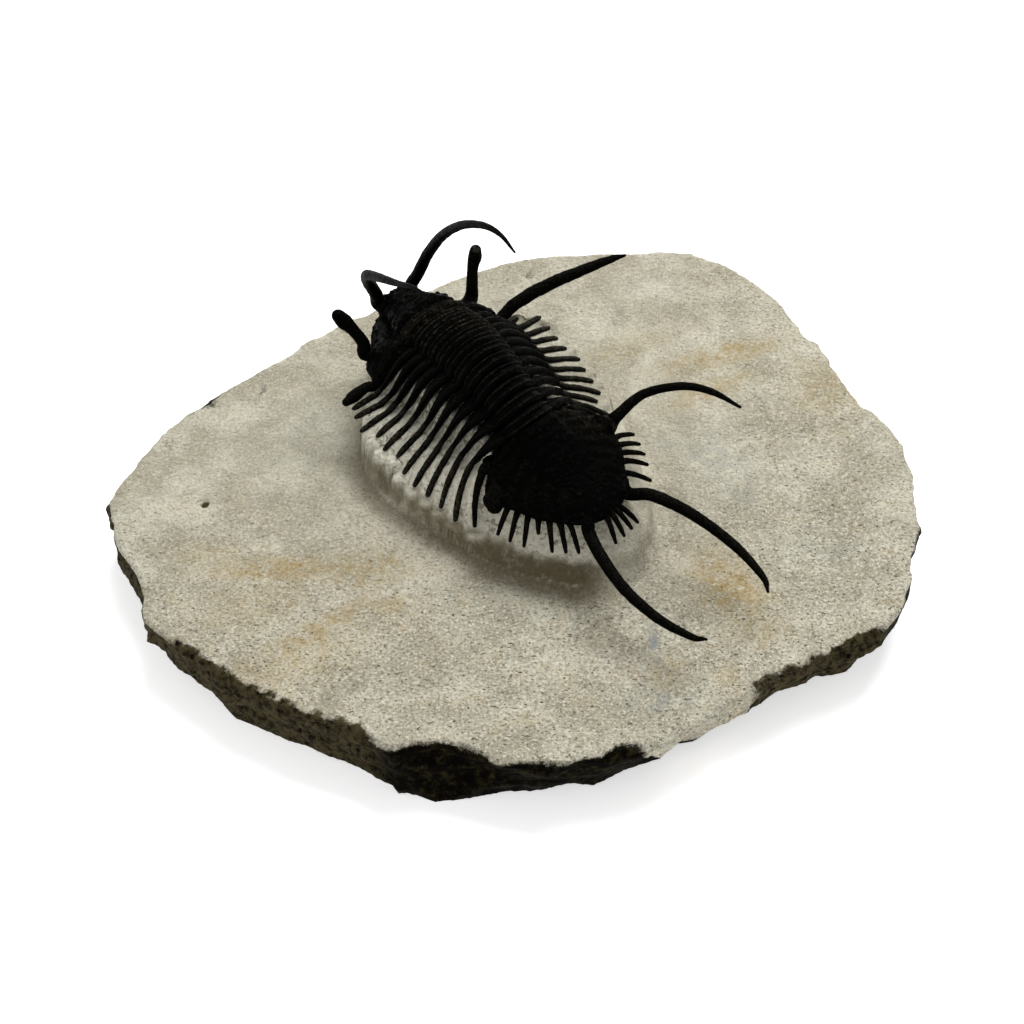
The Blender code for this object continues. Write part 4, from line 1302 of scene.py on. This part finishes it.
@dataclass(frozen=True)
class BranchSet:
    """Places and courses of all the long pieces that stand out from the head and the tail."""

    gap: float = 0.32
    horn_lift: float = 0.25
    stalk_lift: float = 0.5
    stalk_flare: float = 1.08
    horn_flare: dict[Side, float] = field(default_factory=lambda: {Side.LEFT: 1.5, Side.RIGHT: 1.25})
    # spans that get a painted glint: the left horn's bend, the right stalk's end and the right cheek spine's
    # base
    horn_pale: dict[Side, tuple[float, float]] = field(default_factory=lambda: {
        Side.LEFT: (0.28, 0.40), Side.RIGHT: NO_GLINT,
    })
    stalk_glint: dict[Side, tuple[float, float]] = field(default_factory=lambda: {
        Side.LEFT: NO_GLINT, Side.RIGHT: (0.90, 2.0),
    })
    cheek_glint: dict[Side, tuple[float, float]] = field(default_factory=lambda: {
        Side.LEFT: NO_GLINT, Side.RIGHT: (0.20, 0.34),
    })
    horn_s: float = -14.0
    horn_courses: dict[Side, Course] = field(default_factory=lambda: {
        Side.LEFT: (
            (0.0, 0.0, 0.0), (0.9, 0.2, 3.0), (2.3, 1.4, 7.6), (3.9, 5.0, 13.1),
            (4.6, 10.8, 17.9), (4.9, 16.9, 22.1), (4.9, 22.0, 25.6), (4.7, 26.0, 27.2),
        ),
        Side.RIGHT: (
            (0.0, 0.0, 0.0), (1.6, 0.3, 2.8), (3.1, 1.9, 7.6), (4.2, 5.2, 13.3),
            (4.7, 10.8, 19.7), (5.1, 16.9, 24.4), (5.1, 22.0, 26.6), (4.7, 26.4, 26.9),
        ),
    })
    horn_radii: dict[Side, tuple[float, ...]] = field(default_factory=lambda: {
        Side.LEFT: (1.10, 1.02, 0.95, 0.84, 0.68, 0.50, 0.32, 0.14),
        Side.RIGHT: (1.00, 0.94, 0.88, 0.80, 0.68, 0.54, 0.36, 0.16),
    })
    stalk_s: float = -8.0
    stalk_courses: dict[Side, Course] = field(default_factory=lambda: {
        Side.LEFT: (
            (0.0, 0.0, 0.0), (0.4, -0.8, 2.2), (1.1, -2.0, 4.5), (1.9, -2.8, 6.2), (2.5, -3.2, 7.5),
        ),
        Side.RIGHT: (
            (0.0, 0.0, 0.0), (1.2, -0.8, 2.2), (2.3, -2.0, 4.2), (3.2, -2.6, 5.4), (3.7, -3.0, 6.2),
        ),
    })
    stalk_radii: dict[Side, tuple[float, ...]] = field(default_factory=lambda: {
        Side.LEFT: (1.10, 0.96, 0.92, 1.20, 1.00), Side.RIGHT: (1.05, 0.90, 0.86, 1.06, 0.92),
    })
    cheek_station: float = -0.4
    cheek_course: Course = (
        (0.0, 0.0, 0.0), (4.4, 0.2, 0.8), (9.4, 0.8, 1.8),
        (15.0, 2.0, 2.5), (19.7, 3.2, 3.0), (22.1, 3.9, 3.0),
    )
    cheek_radii: tuple[float, ...] = (0.85, 1.00, 1.00, 0.86, 0.62, 0.24)
    stub_course: Course = ((0.0, 0.0, 0.0), (2.2, 0.1, 0.1), (4.6, 0.3, -0.1), (6.0, 0.5, -0.2))
    stub_radii: tuple[float, ...] = (0.88, 0.80, 0.92, 0.66)
    tail_side_station: float = 13.7
    tail_side_course: Course = (
        (0.0, 0.0, 0.0), (2.3, 0.2, 0.9), (7.1, 0.7, 2.2),
        (11.4, 4.4, 3.5), (13.9, 8.1, 3.2), (15.6, 12.1, 1.8),
    )
    tail_side_radii: tuple[float, ...] = (1.35, 0.92, 0.70, 0.62, 0.50, 0.22)
    stump_station: float = 13.4
    stump_course: Course = ((0.0, 0.0, 0.0), (0.6, 0.4, 0.0), (1.2, 0.8, -0.4))
    stump_radii: tuple[float, ...] = (1.40, 1.50, 1.20)
    tail_rear_station: float = 17.1
    tail_rear_courses: dict[Side, Course] = field(default_factory=lambda: {
        Side.LEFT: (
            (0.0, 0.0, 0.0), (2.1, 4.0, -1.1), (3.8, 10.0, -2.3),
            (4.2, 16.6, -3.2), (3.2, 21.8, -4.0), (2.0, 23.6, -4.4),
        ),
        Side.RIGHT: (
            (0.0, 0.0, 0.0), (1.7, 4.0, 0.5), (3.4, 10.0, -0.9),
            (4.2, 16.8, -3.1), (3.1, 22.8, -4.1), (1.7, 25.0, -4.5),
        ),
    })
    tail_rear_radii: tuple[float, ...] = (0.95, 0.92, 0.84, 0.72, 0.52, 0.20)

    def on_shell(self, at: tuple[float, float], side: Side, clearance: float) -> tuple[Points, Points]:
        """A start just clear of the shell's upper side, and the direction out of it.

        Args:
            at: station, and share of the way out.
            side: left or right.
            clearance: gap over the shell.

        Returns:
            The place and the unit vector.
        """
        u, v = at[0], side.value * at[1]
        normal = SHELL.normal(u, v).reshape(3)
        return SHELL.point(u, v).reshape(3) + normal * clearance, normal

    def on_edge(self, u: float, side: Side) -> tuple[Points, Points, float]:
        """A start just clear of the shell's edge, the direction out of it, and its s.

        Args:
            u: station along the body.
            side: left or right.

        Returns:
            The place, the unit vector and s.
        """
        v, h = side.value, SHELL.probe
        normal = SHELL.normal(u, v).reshape(3)
        along = (SHELL.point(u + h, v) - SHELL.point(u - h, v)).reshape(3)
        outward = unit(np.cross(normal, along)) * v
        edge = SHELL.point(u, v).reshape(3) - normal * 0.55
        return edge + outward * self.gap, outward, SHELL.edge(u)[0]

    def branches(self) -> list[Branch]:
        """Every branch on both sides.

        Returns:
            The branches, side by side.
        """
        found = []
        for side in Side:
            whole, word = side is Side.RIGHT, side.word
            start = self.on_shell(HORN_AT, side, self.gap + self.horn_lift)
            found.append(Branch(
                f"{word}_head_horn", f"{word}_horn", side, *start, self.horn_s, self.horn_courses[side],
                self.horn_radii[side], flare=self.horn_flare[side], pale=self.horn_pale[side], sections=150,
            ))
            start = self.on_shell(STALK_AT, side, self.gap + self.stalk_lift)
            found.append(Branch(
                f"{word}_stalked_eye", f"{word}_eye_stalk", side, *start, self.stalk_s,
                self.stalk_courses[side], self.stalk_radii[side],
                flare=self.stalk_flare, pale=self.stalk_glint[side], sections=70,
            ))
            *start, s = self.on_edge(self.cheek_station, side)
            shape = (self.cheek_course, self.cheek_radii) if whole else (self.stub_course, self.stub_radii)
            found.append(Branch(
                f"{word}_cheek_spine", f"{word}_genal_spine", side, *start, s, *shape,
                pale=self.cheek_glint[side], lump=0.09,
            ))
            *start, s = self.on_edge(self.tail_side_station if whole else self.stump_station, side)
            shape = (self.stump_course, self.stump_radii)
            if whole:
                shape = (self.tail_side_course, self.tail_side_radii)
            found.append(Branch(
                f"{word}_tail_side_spine", f"{word}_front_tail_spine", side, *start, s, *shape,
            ))
            *start, s = self.on_edge(self.tail_rear_station, side)
            found.append(Branch(
                f"{word}_tail_end_spine", f"{word}_rear_tail_spine", side, *start, s,
                self.tail_rear_courses[side], self.tail_rear_radii, flare=1.06, lump=0.06,
            ))
        return found


@dataclass(frozen=True)
class Patch:
    """A soft oval place on the slab, for a stain or for a chipped edge."""

    x: float
    y: float
    length: float
    width: float
    turn: float = 0.0
    strength: float = 1.0

    def weight(self, points: Points) -> Points:
        """How strongly the patch works at each point.

        Args:
            points: places in millimetres, one a row.

        Returns:
            A share for each point.
        """
        angle = math.radians(self.turn)
        dx, dy = points[:, 0] - self.x, points[:, 1] - self.y
        along = (dx * math.cos(angle) + dy * math.sin(angle)) / self.length
        across = (dy * math.cos(angle) - dx * math.sin(angle)) / self.width
        return self.strength * np.exp(-(along**2 + across**2) ** 1.5)


def strongest(patches: Sequence[Patch], points: Points) -> Points:
    """Strength of the strongest patch at each point."""
    return np.max([patch.weight(points) for patch in patches], axis=0)


@dataclass(frozen=True)
class Roughness:
    """A layer of lumps on the stone: its height, its size and how it is stretched."""

    height: float
    size: float
    octaves: int
    seed: float
    stretch: tuple[float, float, float] = (1.0, 1.0, 1.0)

    def at(self, points: Points) -> Points:
        """How far the layer moves each point."""
        return self.height * lumps(points * np.array(self.stretch), self.size, self.octaves, self.seed)


def relief_of(layers: Iterable[Roughness], points: Points) -> Points:
    """How far several layers together move each point."""
    return np.sum([layer.at(points) for layer in layers], axis=0)


def arc(angle: Points, window: tuple[float, float, float, float]) -> Points:
    """Share of a stretch of the block's edge, with soft ends, given by four angles in degrees."""
    return step(window[0], window[1], angle) * step(window[3], window[2], angle)


@dataclass
class StoneBlock:
    """The loose block of matrix with the mound that the animal was left on."""

    name: str = "stone_block"
    node: str = "matrix_slab"
    voxel: float = 0.43
    grain: tuple[Roughness, ...] = (Roughness(0.12, 0.9, 2, 1.0), Roughness(0.09, 2.3, 2, 2.0))
    waves: tuple[Roughness, ...] = (Roughness(0.16, 18.0, 2, 3.0), Roughness(0.12, 6.0, 2, 4.0))
    ledges: tuple[Roughness, ...] = (
        Roughness(0.55, 4.0, 3, 5.0, (0.35, 0.35, 1.9)), Roughness(0.45, 5.0, 2, 6.0),
    )
    chips: Roughness = Roughness(1.0, 3.2, 2, 7.0, (1.0, 1.0, 0.4))
    chip_depth: float = 1.1
    chip_share: float = 0.18
    tooling: tuple[Roughness, ...] = (
        Roughness(0.22, 1.5, 2, 8.0, (1.0, 1.0, 0.25)), Roughness(0.18, 3.5, 2, 9.0),
    )
    mound_grain: Roughness = Roughness(0.10, 1.2, 2, 10.0)
    ochre: tuple[Patch, ...] = (
        Patch(-34.0, -15.6, 10.5, 2.6, 2.0, 0.9), Patch(-21.0, -15.5, 8.0, 3.5, 8.0, 0.7),
        Patch(-28.0, -27.5, 10.0, 2.2, 38.0, 0.8), Patch(-19.0, -22.5, 6.0, 2.0, 15.0, 0.5),
        Patch(33.0, 28.5, 11.0, 2.4, 20.0, 0.8), Patch(31.0, 21.0, 8.0, 2.4, 28.0, 0.7),
        Patch(48.0, 21.0, 6.0, 6.0, 0.0, 0.5), Patch(31.0, -18.5, 7.5, 5.0, -50.0, 0.9),
        Patch(18.0, 30.0, 10.0, 2.5, 25.0, 0.4), Patch(35.0, -27.0, 6.0, 3.0, 10.0, 0.4),
        Patch(-44.0, -13.0, 6.0, 3.0, 0.0, 0.4),
        Patch(-31.0, -33.0, 13.0, 5.0, 35.0, 0.58), Patch(-37.0, -22.0, 10.0, 5.0, 25.0, 0.42),
        Patch(21.6, -34.5, 2.6, 3.0, 0.0, 0.45), Patch(30.5, -35.5, 2.0, 3.2, 0.0, 0.45),
    )
    grey: tuple[Patch, ...] = (
        Patch(31.0, 4.0, 9.0, 4.5, -60.0, 0.45), Patch(20.5, -39.8, 4.5, 2.2, 0.0, 0.6),
        Patch(20.2, -29.8, 0.6, 3.4, 6.0, 1.5), Patch(27.0, 10.0, 6.0, 3.0, 0.0, 0.4),
        Patch(-30.0, 12.0, 14.0, 7.0, 30.0, 0.22), Patch(45.0, -12.0, 8.0, 5.0, 0.0, 0.25),
    )
    dark_laps: tuple[Patch, ...] = (
        Patch(-10.6, -49.3, 7.4, 2.9, 0.0, 1.0), Patch(3.0, -52.0, 9.0, 2.2, 3.0, 0.9),
        Patch(16.0, -49.0, 3.2, 2.4, 20.0, 1.0), Patch(49.5, -30.5, 4.5, 2.0, 35.0, 0.9),
    )
    bare_edges: tuple[Patch, ...] = (
        Patch(27.0, -43.0, 9.5, 4.5, 38.0, 1.0), Patch(60.0, 12.0, 6.0, 12.0, 0.0, 0.7),
    )
    tan_ledge: Patch = Patch(-11.8, -51.8, 3.2, 1.6, 5.0, 0.75)
    pit: tuple[float, float] = (-45.6, -2.4)
    pit_depth: float = 0.9
    pit_radius: float = 0.9
    rim_inset: float = 2.2
    skin_line: float = 9.5
    bare_drop: float = 7.2
    skin_strength: float = 0.78
    lap_strength: float = 0.75
    creeps_from: tuple[float, float] = (0.940, 0.990)
    left_creep: tuple[float, float, float, float] = (206.0, 214.0, 244.0, 252.0)
    left_brown: tuple[float, float, float, float] = (166.0, 174.0, 244.0, 252.0)
    right_creep: tuple[float, float, float, float] = (309.0, 314.0, 330.0, 338.0)
    rim_height: float = 13.6
    head_rim_rise: float = 1.3
    foot_shadow_width: float = 2.5
    foot_inset: tuple[tuple[float, float], ...] = (
        (205.0, 0.0), (213.0, 0.8), (218.4, 0.5), (222.0, 0.0), (225.0, 0.8), (230.0, 1.35), (235.4, 2.2),
        (241.0, 1.4), (247.3, 0.6), (250.5, 1.0), (253.5, -0.8), (258.0, -2.9), (263.0, -1.3), (268.0, 1.8),
        (273.0, 2.7), (275.7, 3.8), (278.3, 3.0), (283.6, 1.2), (289.3, 2.5), (294.7, 3.3), (302.0, 1.0),
        (310.0, 0.0), (317.0, -1.2), (323.5, -1.0), (335.0, -1.1), (342.0, 0.0),
    )

    def spine_axes(self) -> KDTree:
        """Places along the middle of every side spine and its plate's end, found by their plan.

        Returns:
            A tree of the places that gives the nearest in plan.
        """
        share = np.linspace(0.0, 1.04, 50)
        places = [SideSpine(k, side).place(share) for k in range(1, SEGMENTS + 2) for side in Side]
        ends = np.linspace(0.80, 1.0, 8)
        places += [SHELL.point(k, side.value * ends) for k in range(1, SEGMENTS + 1) for side in Side]
        rows = np.concatenate(places)
        tree = KDTree(len(rows))
        for k, (x, y, _) in enumerate(rows):
            tree.insert((x, y, 0.0), k)
        tree.balance()
        self.axis_heights = rows[:, 2]
        return tree

    def rough_solid(self) -> bpy.types.Mesh:
        """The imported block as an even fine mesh.

        Returns:
            The mesh, in metres.
        """
        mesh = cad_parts[self.node].data.copy()
        weld = bmesh.new()
        weld.from_mesh(mesh)
        bmesh.ops.remove_doubles(weld, verts=weld.verts, dist=1e-7)
        weld.to_mesh(mesh)
        weld.free()
        piece = bpy.data.objects.new("block_blank", mesh)
        bpy.context.scene.collection.objects.link(piece)
        remesh = piece.modifiers.new("remesh", "REMESH")
        remesh.mode = "VOXEL"
        remesh.voxel_size = self.voxel * MM
        even = bpy.data.meshes.new_from_object(piece.evaluated_get(bpy.context.evaluated_depsgraph_get()))
        bpy.data.objects.remove(piece)
        return even

    def build(self) -> bpy.types.Object:
        """The block as a piece.

        Returns:
            The piece, in the scene.
        """
        mesh = self.rough_solid()
        count = len(mesh.vertices)
        points, normals = np.empty(count * 3), np.empty(count * 3)
        mesh.vertices.foreach_get("co", points)
        mesh.vertices.foreach_get("normal", normals)
        points, normals = points.reshape(-1, 3) / MM, normals.reshape(-1, 3)
        shaped = self.shape(points, normals)
        faces = [tuple(face.vertices) for face in mesh.polygons]
        bpy.data.meshes.remove(mesh)
        piece = make_piece(self.name, shaped, faces, self.layers(points, normals, shaped))
        flatten = bmesh.new()
        flatten.from_mesh(piece.data)
        under = [face for face in flatten.faces if all(vert.co.z < 1e-6 for vert in face.verts)]
        bmesh.ops.dissolve_faces(flatten, faces=under)
        flatten.to_mesh(piece.data)
        flatten.free()
        return piece

    def zones(self, points: Points, normals: Points) -> tuple[Points, Points, Points]:
        """Shares of the broken side, the mound and the mound's wall at each point.

        Args:
            points: places on the plain block.
            normals: directions out of it.

        Returns:
            Three shares from 0 to 1 for each point.
        """
        z = points[:, 2]
        side = step(0.85, 0.45, normals[:, 2]) * step(10.3, 9.4, z)
        mound = step(10.6, 11.4, z)
        return side, mound, mound * step(0.92, 0.60, normals[:, 2])

    def shape(self, points: Points, normals: Points) -> Points:
        """Broken, tooled and grainy surface of the block.

        Args:
            points: places on the plain block.
            normals: directions out of it.

        Returns:
            The moved places.
        """
        side, mound, wall = self.zones(points, normals)
        z = points[:, 2]
        move = relief_of(self.grain, points) - self.pit_depth * self.pit_share(points, self.pit_radius)
        move += (1.0 - side) * (1.0 - mound) * relief_of(self.waves, points)
        chipped = -self.chip_depth * np.clip(self.chips.at(points) - self.chip_share, 0.0, 1.0)
        move += side * (relief_of(self.ledges, points) + chipped)
        move += wall * relief_of(self.tooling, points)
        move += (mound - wall) * self.mound_grain.at(points)
        move *= step(0.05, 1.3, z)
        shaped = points + normals * move[:, None]
        near = step(2.0, -6.0, self.towards_back(points))
        shaped[:, :2] -= normals[:, :2] * (self.rim_inset * near * step(11.0, 14.5, z) * mound)[:, None]
        shaped[:, 2] += self.bedding(shaped, mound)
        shaped[:, :2] *= (1.0 - self.undercut(points))[:, None]
        shaped[z < 0.3, 2] = 0.0
        shaped[:, 2] = np.maximum(shaped[:, 2], 0.0)
        return shaped

    def pit_share(self, points: Points, radius: float) -> Points:
        """Share of the small round pit at each point."""
        return hump(np.hypot(points[:, 0] - self.pit[0], points[:, 1] - self.pit[1]), 0.0, radius)

    def reach(self, points: Points) -> tuple[Points, Points, Points]:
        """Angle round the block, distance out and the block's own reach at each point.

        Args:
            points: places on the plain block.

        Returns:
            Degrees, and two distances in millimetres.
        """
        angle = np.degrees(np.arctan2(points[:, 1], points[:, 0])) % 360.0
        radius = np.hypot(points[:, 0], points[:, 1])
        edge = np.zeros(120)
        np.maximum.at(edge, (angle / 3.0).astype(int) % 120, radius)
        return angle, radius, np.interp(angle, np.arange(120) * 3.0 + 1.5, edge, period=360.0)

    def undercut(self, points: Points) -> Points:
        """Share by which the block's broken foot stands in further than the plain block's.

        Args:
            points: places on the plain block.

        Returns:
            A share of each point's distance out.
        """
        angle, radius, reach = self.reach(points)
        inset = np.interp(angle, *np.array(self.foot_inset).T, period=360.0)
        low = np.clip(1.0 - points[:, 2] / 9.0, 0.0, 1.0)
        return inset / reach * low * step(0.72, 0.96, radius / reach)

    def towards_back(self, points: Points) -> Points:
        """Distance of each point from the fossil's mid line, towards the back."""
        return (points[:, 0] - 3.0) * 0.77 + (points[:, 1] + 1.0) * 0.64

    def bedding(self, points: Points, mound: Points) -> Points:
        """How far the mound's stone rises to bed the side spines.

        Args:
            points: places on the plain block.
            mound: share of the mound at each point.

        Returns:
            The rise in millimetres.
        """
        tree = self.spine_axes()
        rise = np.zeros(len(points))
        for k in np.flatnonzero(mound > 0.5):
            x, y, z = points[k]
            _, index, away = tree.find((x, y, 0.0))
            if away < 2.6:
                target = self.axis_heights[index] - 0.62 - 0.10 * min(away, 1.3) ** 2
                near = 1.0 - min(max((away - 1.3) / 1.3, 0.0), 1.0)
                rise[k] = max(target - z, 0.0) * near * near * (3.0 - 2.0 * near)
        return rise

    def from_mound(self, points: Points, mound: Points) -> Points:
        """Distance in plan of each point of the slab from the mound's foot.

        Args:
            points: places on the plain block.
            mound: share of the mound at each point.

        Returns:
            The distance in millimetres.
        """
        inside = np.flatnonzero(mound > 0.5)[::4]
        tree = KDTree(len(inside))
        for k in inside:
            tree.insert((*points[k, :2], 0.0), int(k))
        tree.balance()
        away = np.zeros(len(points))
        for k in np.flatnonzero(mound <= 0.5):
            away[k] = tree.find((*points[k, :2], 0.0))[2] if points[k, 2] > 8.0 else 99.0
        return away

    def skin(self, points: Points, shaped: Points, mound: Points) -> tuple[Points, Points]:
        """Dark skin of the broken sides, which creeps over the edge of the slab's face.

        Args:
            points: places on the plain block.
            shaped: the same places after they are moved.
            mound: share of the mound at each point.

        Returns:
            How dark the skin is, and how far it turns to a lighter brown.
        """
        z = shaped[:, 2]
        angle, radius, reach = self.reach(points)
        share = radius / reach
        creep = step(*self.creeps_from, share + 0.020 * lumps(points, 1.6, 3, 13.0))
        right = arc(angle, self.right_creep)
        creep *= np.maximum(arc(angle, self.left_creep), 0.85 * right)
        line = self.skin_line + 0.5 * lumps(points, 5.0, 2, 12.0)
        line -= self.bare_drop * strongest(self.bare_edges, points)
        broken = step(line + 0.5, line - 0.7, z) * np.maximum(step(0.82, 0.90, share), step(8.0, 7.0, z))
        dark = self.skin_strength * np.maximum(broken, creep)
        dark += self.lap_strength * strongest(self.dark_laps, points) * (1.0 - mound)
        tan = self.tan_ledge.weight(shaped)
        dark *= 1.0 - tan * step(5.0, 3.0, z)
        dark = np.maximum(dark, self.pit_share(points, 0.7))
        return dark, np.maximum(0.9 * np.maximum(arc(angle, self.left_brown), right), tan)

    def mound_painted_shade_and_rim(self, points: Points, normals: Points, shaped: Points) -> tuple[Points, Points]:
        """Painted shade on the mound's near side: its wall darkened, a painted shadow round its foot, and
        the pale rim over them.

        Args:
            points: places on the plain block.
            normals: directions out of it.
            shaped: the same places after they are moved.

        Returns:
            Shares of the wall's tint and of the rim's.
        """
        side, mound, wall = self.zones(points, normals)
        x, z = points[:, 0], shaped[:, 2]
        near = step(11.0, 5.0, self.towards_back(points)) * step(17.0, 10.0, x)
        line = self.rim_height + self.head_rim_rise * step(-3.0, -15.0, x)
        line += 0.5 * lumps(points, 1.6, 2, 14.0)
        rim = near * mound * step(line - 0.5, line + 0.7, z) * step(0.995, 0.93, normals[:, 2])
        # painted shadow on the slab round the mound's foot, and painted shade down the near wall, on the
        # near side only and a little lighter towards the left
        foot = hump(self.from_mound(points, mound), 0.0, self.foot_shadow_width) * (1.0 - side) * (mound < 0.5)
        dark = np.maximum(0.97 * wall * step(line + 0.5, line - 0.9, z), 0.9 * foot)
        return near * (0.76 + 0.24 * step(-18.0, 0.0, x)) * dark, rim

    def layers(self, points: Points, normals: Points, shaped: Points) -> dict[str, Points]:
        """Values that the stone's finish reads.

        Args:
            points: places on the plain block.
            normals: directions out of it.
            shaped: the same places after they are moved.

        Returns:
            One value a point for each named layer.
        """
        _, mound, _ = self.zones(points, normals)
        patina, tan = self.skin(points, shaped, mound)
        wall, rim = self.mound_painted_shade_and_rim(points, normals, shaped)
        coarse = 0.30 + 0.65 * step(8.0, -32.0, points[:, 1]) + 0.4 * step(20.0, 45.0, points[:, 0])
        flat = 1.0 - mound
        return {
            # wall holds the painted shade of the mound's near wall and foot
            "wall": wall, "rim": rim, "tan": tan, "patina": patina,
            "ochre": strongest(self.ochre, points) * flat, "grey": strongest(self.grey, points) * flat,
            "coarse": np.clip(coarse - 0.35 * mound, 0.0, 1.0),
        }

    def dress(self, piece: bpy.types.Object, finish: bpy.types.Material) -> None:
        """Finish the block and give it its place in the frame."""
        dress_piece(piece, finish, Slot.MATRIX, self.node)


@dataclass(frozen=True)
class Studio:
    """Pale floor, soft light and the camera at the photograph's angle."""

    elevation: float = 48.0
    distance: float = 0.420
    target: tuple[float, float, float] = (0.0, -0.0044, 0.010)
    focal_length: float = 99.77
    floor_size: float = 3.0
    floor_white: float = 0.90
    floor_glow: float = 0.55
    key_place: tuple[float, float, float] = (0.16, 0.50, 0.80)
    key_size: float = 0.55
    key_power: float = 8.8
    fill_place: tuple[float, float, float] = (-0.70, -0.45, 0.60)
    fill_size: float = 0.9
    fill_power: float = 1.0
    surround: float = 0.50

    def floor(self) -> None:
        """A wide pale floor under the block."""
        half = self.floor_size / 2.0
        corners = [(-half, -half, 0), (half, -half, 0), (half, half, 0), (-half, half, 0)]
        mesh = bpy.data.meshes.new("floor")
        mesh.from_pydata(corners, [], [(0, 1, 2, 3)])
        piece = bpy.data.objects.new("floor", mesh)
        bpy.context.scene.collection.objects.link(piece)
        material = bpy.data.materials.new("floor_white")
        material.use_nodes = True
        shader = material.node_tree.nodes["Principled BSDF"]
        shader.inputs["Base Color"].default_value = (*(self.floor_white,) * 3, 1.0)
        shader.inputs["Roughness"].default_value = 0.9
        shader.inputs["Emission Color"].default_value = (1.0, 1.0, 1.0, 1.0)
        shader.inputs["Emission Strength"].default_value = self.floor_glow
        mesh.materials.append(material)

    def light(self, name: str, place: Sequence[float], size: float, power: float) -> None:
        """A soft square light that faces the fossil.

        Args:
            name: the light's name.
            place: where it stands, in metres.
            size: width of its face, in metres.
            power: its power in watts.
        """
        lamp = bpy.data.lights.new(name, "AREA")
        lamp.size, lamp.energy = size, power
        holder = bpy.data.objects.new(name, lamp)
        holder.location = place
        holder.rotation_euler = (Vector(place) - Vector(self.target)).to_track_quat("Z", "Y").to_euler()
        bpy.context.scene.collection.objects.link(holder)

    def lights(self) -> None:
        """Soft key light from behind on the right, a weak fill and a pale surround."""
        self.light("key", self.key_place, self.key_size, self.key_power)
        self.light("fill", self.fill_place, self.fill_size, self.fill_power)
        world = bpy.data.worlds.new("surround")
        world.use_nodes = True
        world.node_tree.nodes["Background"].inputs["Color"].default_value = (1.0, 1.0, 1.0, 1.0)
        world.node_tree.nodes["Background"].inputs["Strength"].default_value = self.surround
        bpy.context.scene.world = world
        bpy.context.scene.view_settings.view_transform = "Standard"

    def camera(self) -> None:
        """The camera that looks down on the slab."""
        angle = math.radians(self.elevation)
        lens = bpy.data.cameras.new("camera")
        lens.lens, lens.sensor_width, lens.clip_start = self.focal_length, 36.0, 0.01
        holder = bpy.data.objects.new("camera", lens)
        offset = Vector((0.0, -math.cos(angle), math.sin(angle))) * self.distance
        holder.location = Vector(self.target) + offset
        holder.rotation_euler = (math.radians(90.0) - angle, 0.0, 0.0)
        bpy.context.scene.collection.objects.link(holder)
        bpy.context.scene.camera = holder


def main() -> None:
    """Build the studio and every piece of the fossil, in order."""
    logging.basicConfig(level=logging.INFO, format="%(message)s")
    studio = Studio()
    studio.floor()
    studio.lights()
    studio.camera()
    shield_finish = ShellFinish("shield_black", crest_highlight_strength=0.13, gloss=0.007).make()
    thorax_finish = ShellFinish("thorax_black", crest_highlight_strength=0.90).make()
    spine_finish = ShellFinish("spine_black", crest_highlight_strength=0.17, rough=(0.42, 0.56), gloss=0.010).make()
    block = StoneBlock()
    block.dress(block.build(), StoneFinish().make())
    log.info("stone block")
    head = HeadShield()
    head.dress(head.build(), shield_finish)
    log.info("head shield")
    for number in range(1, SEGMENTS + 1):
        segment = ThoraxSegment(number)
        segment.dress(segment.build(), thorax_finish)
        log.info("thorax plate %d", number)
    tail = TailShield()
    tail.dress(tail.build(), shield_finish)
    log.info("tail shield with its fringe")
    for branch in BranchSet().branches():
        branch.dress(branch.build(), spine_finish)
        log.info("%s", branch.name.replace("_", " "))


if __name__ == "__main__":
    main()
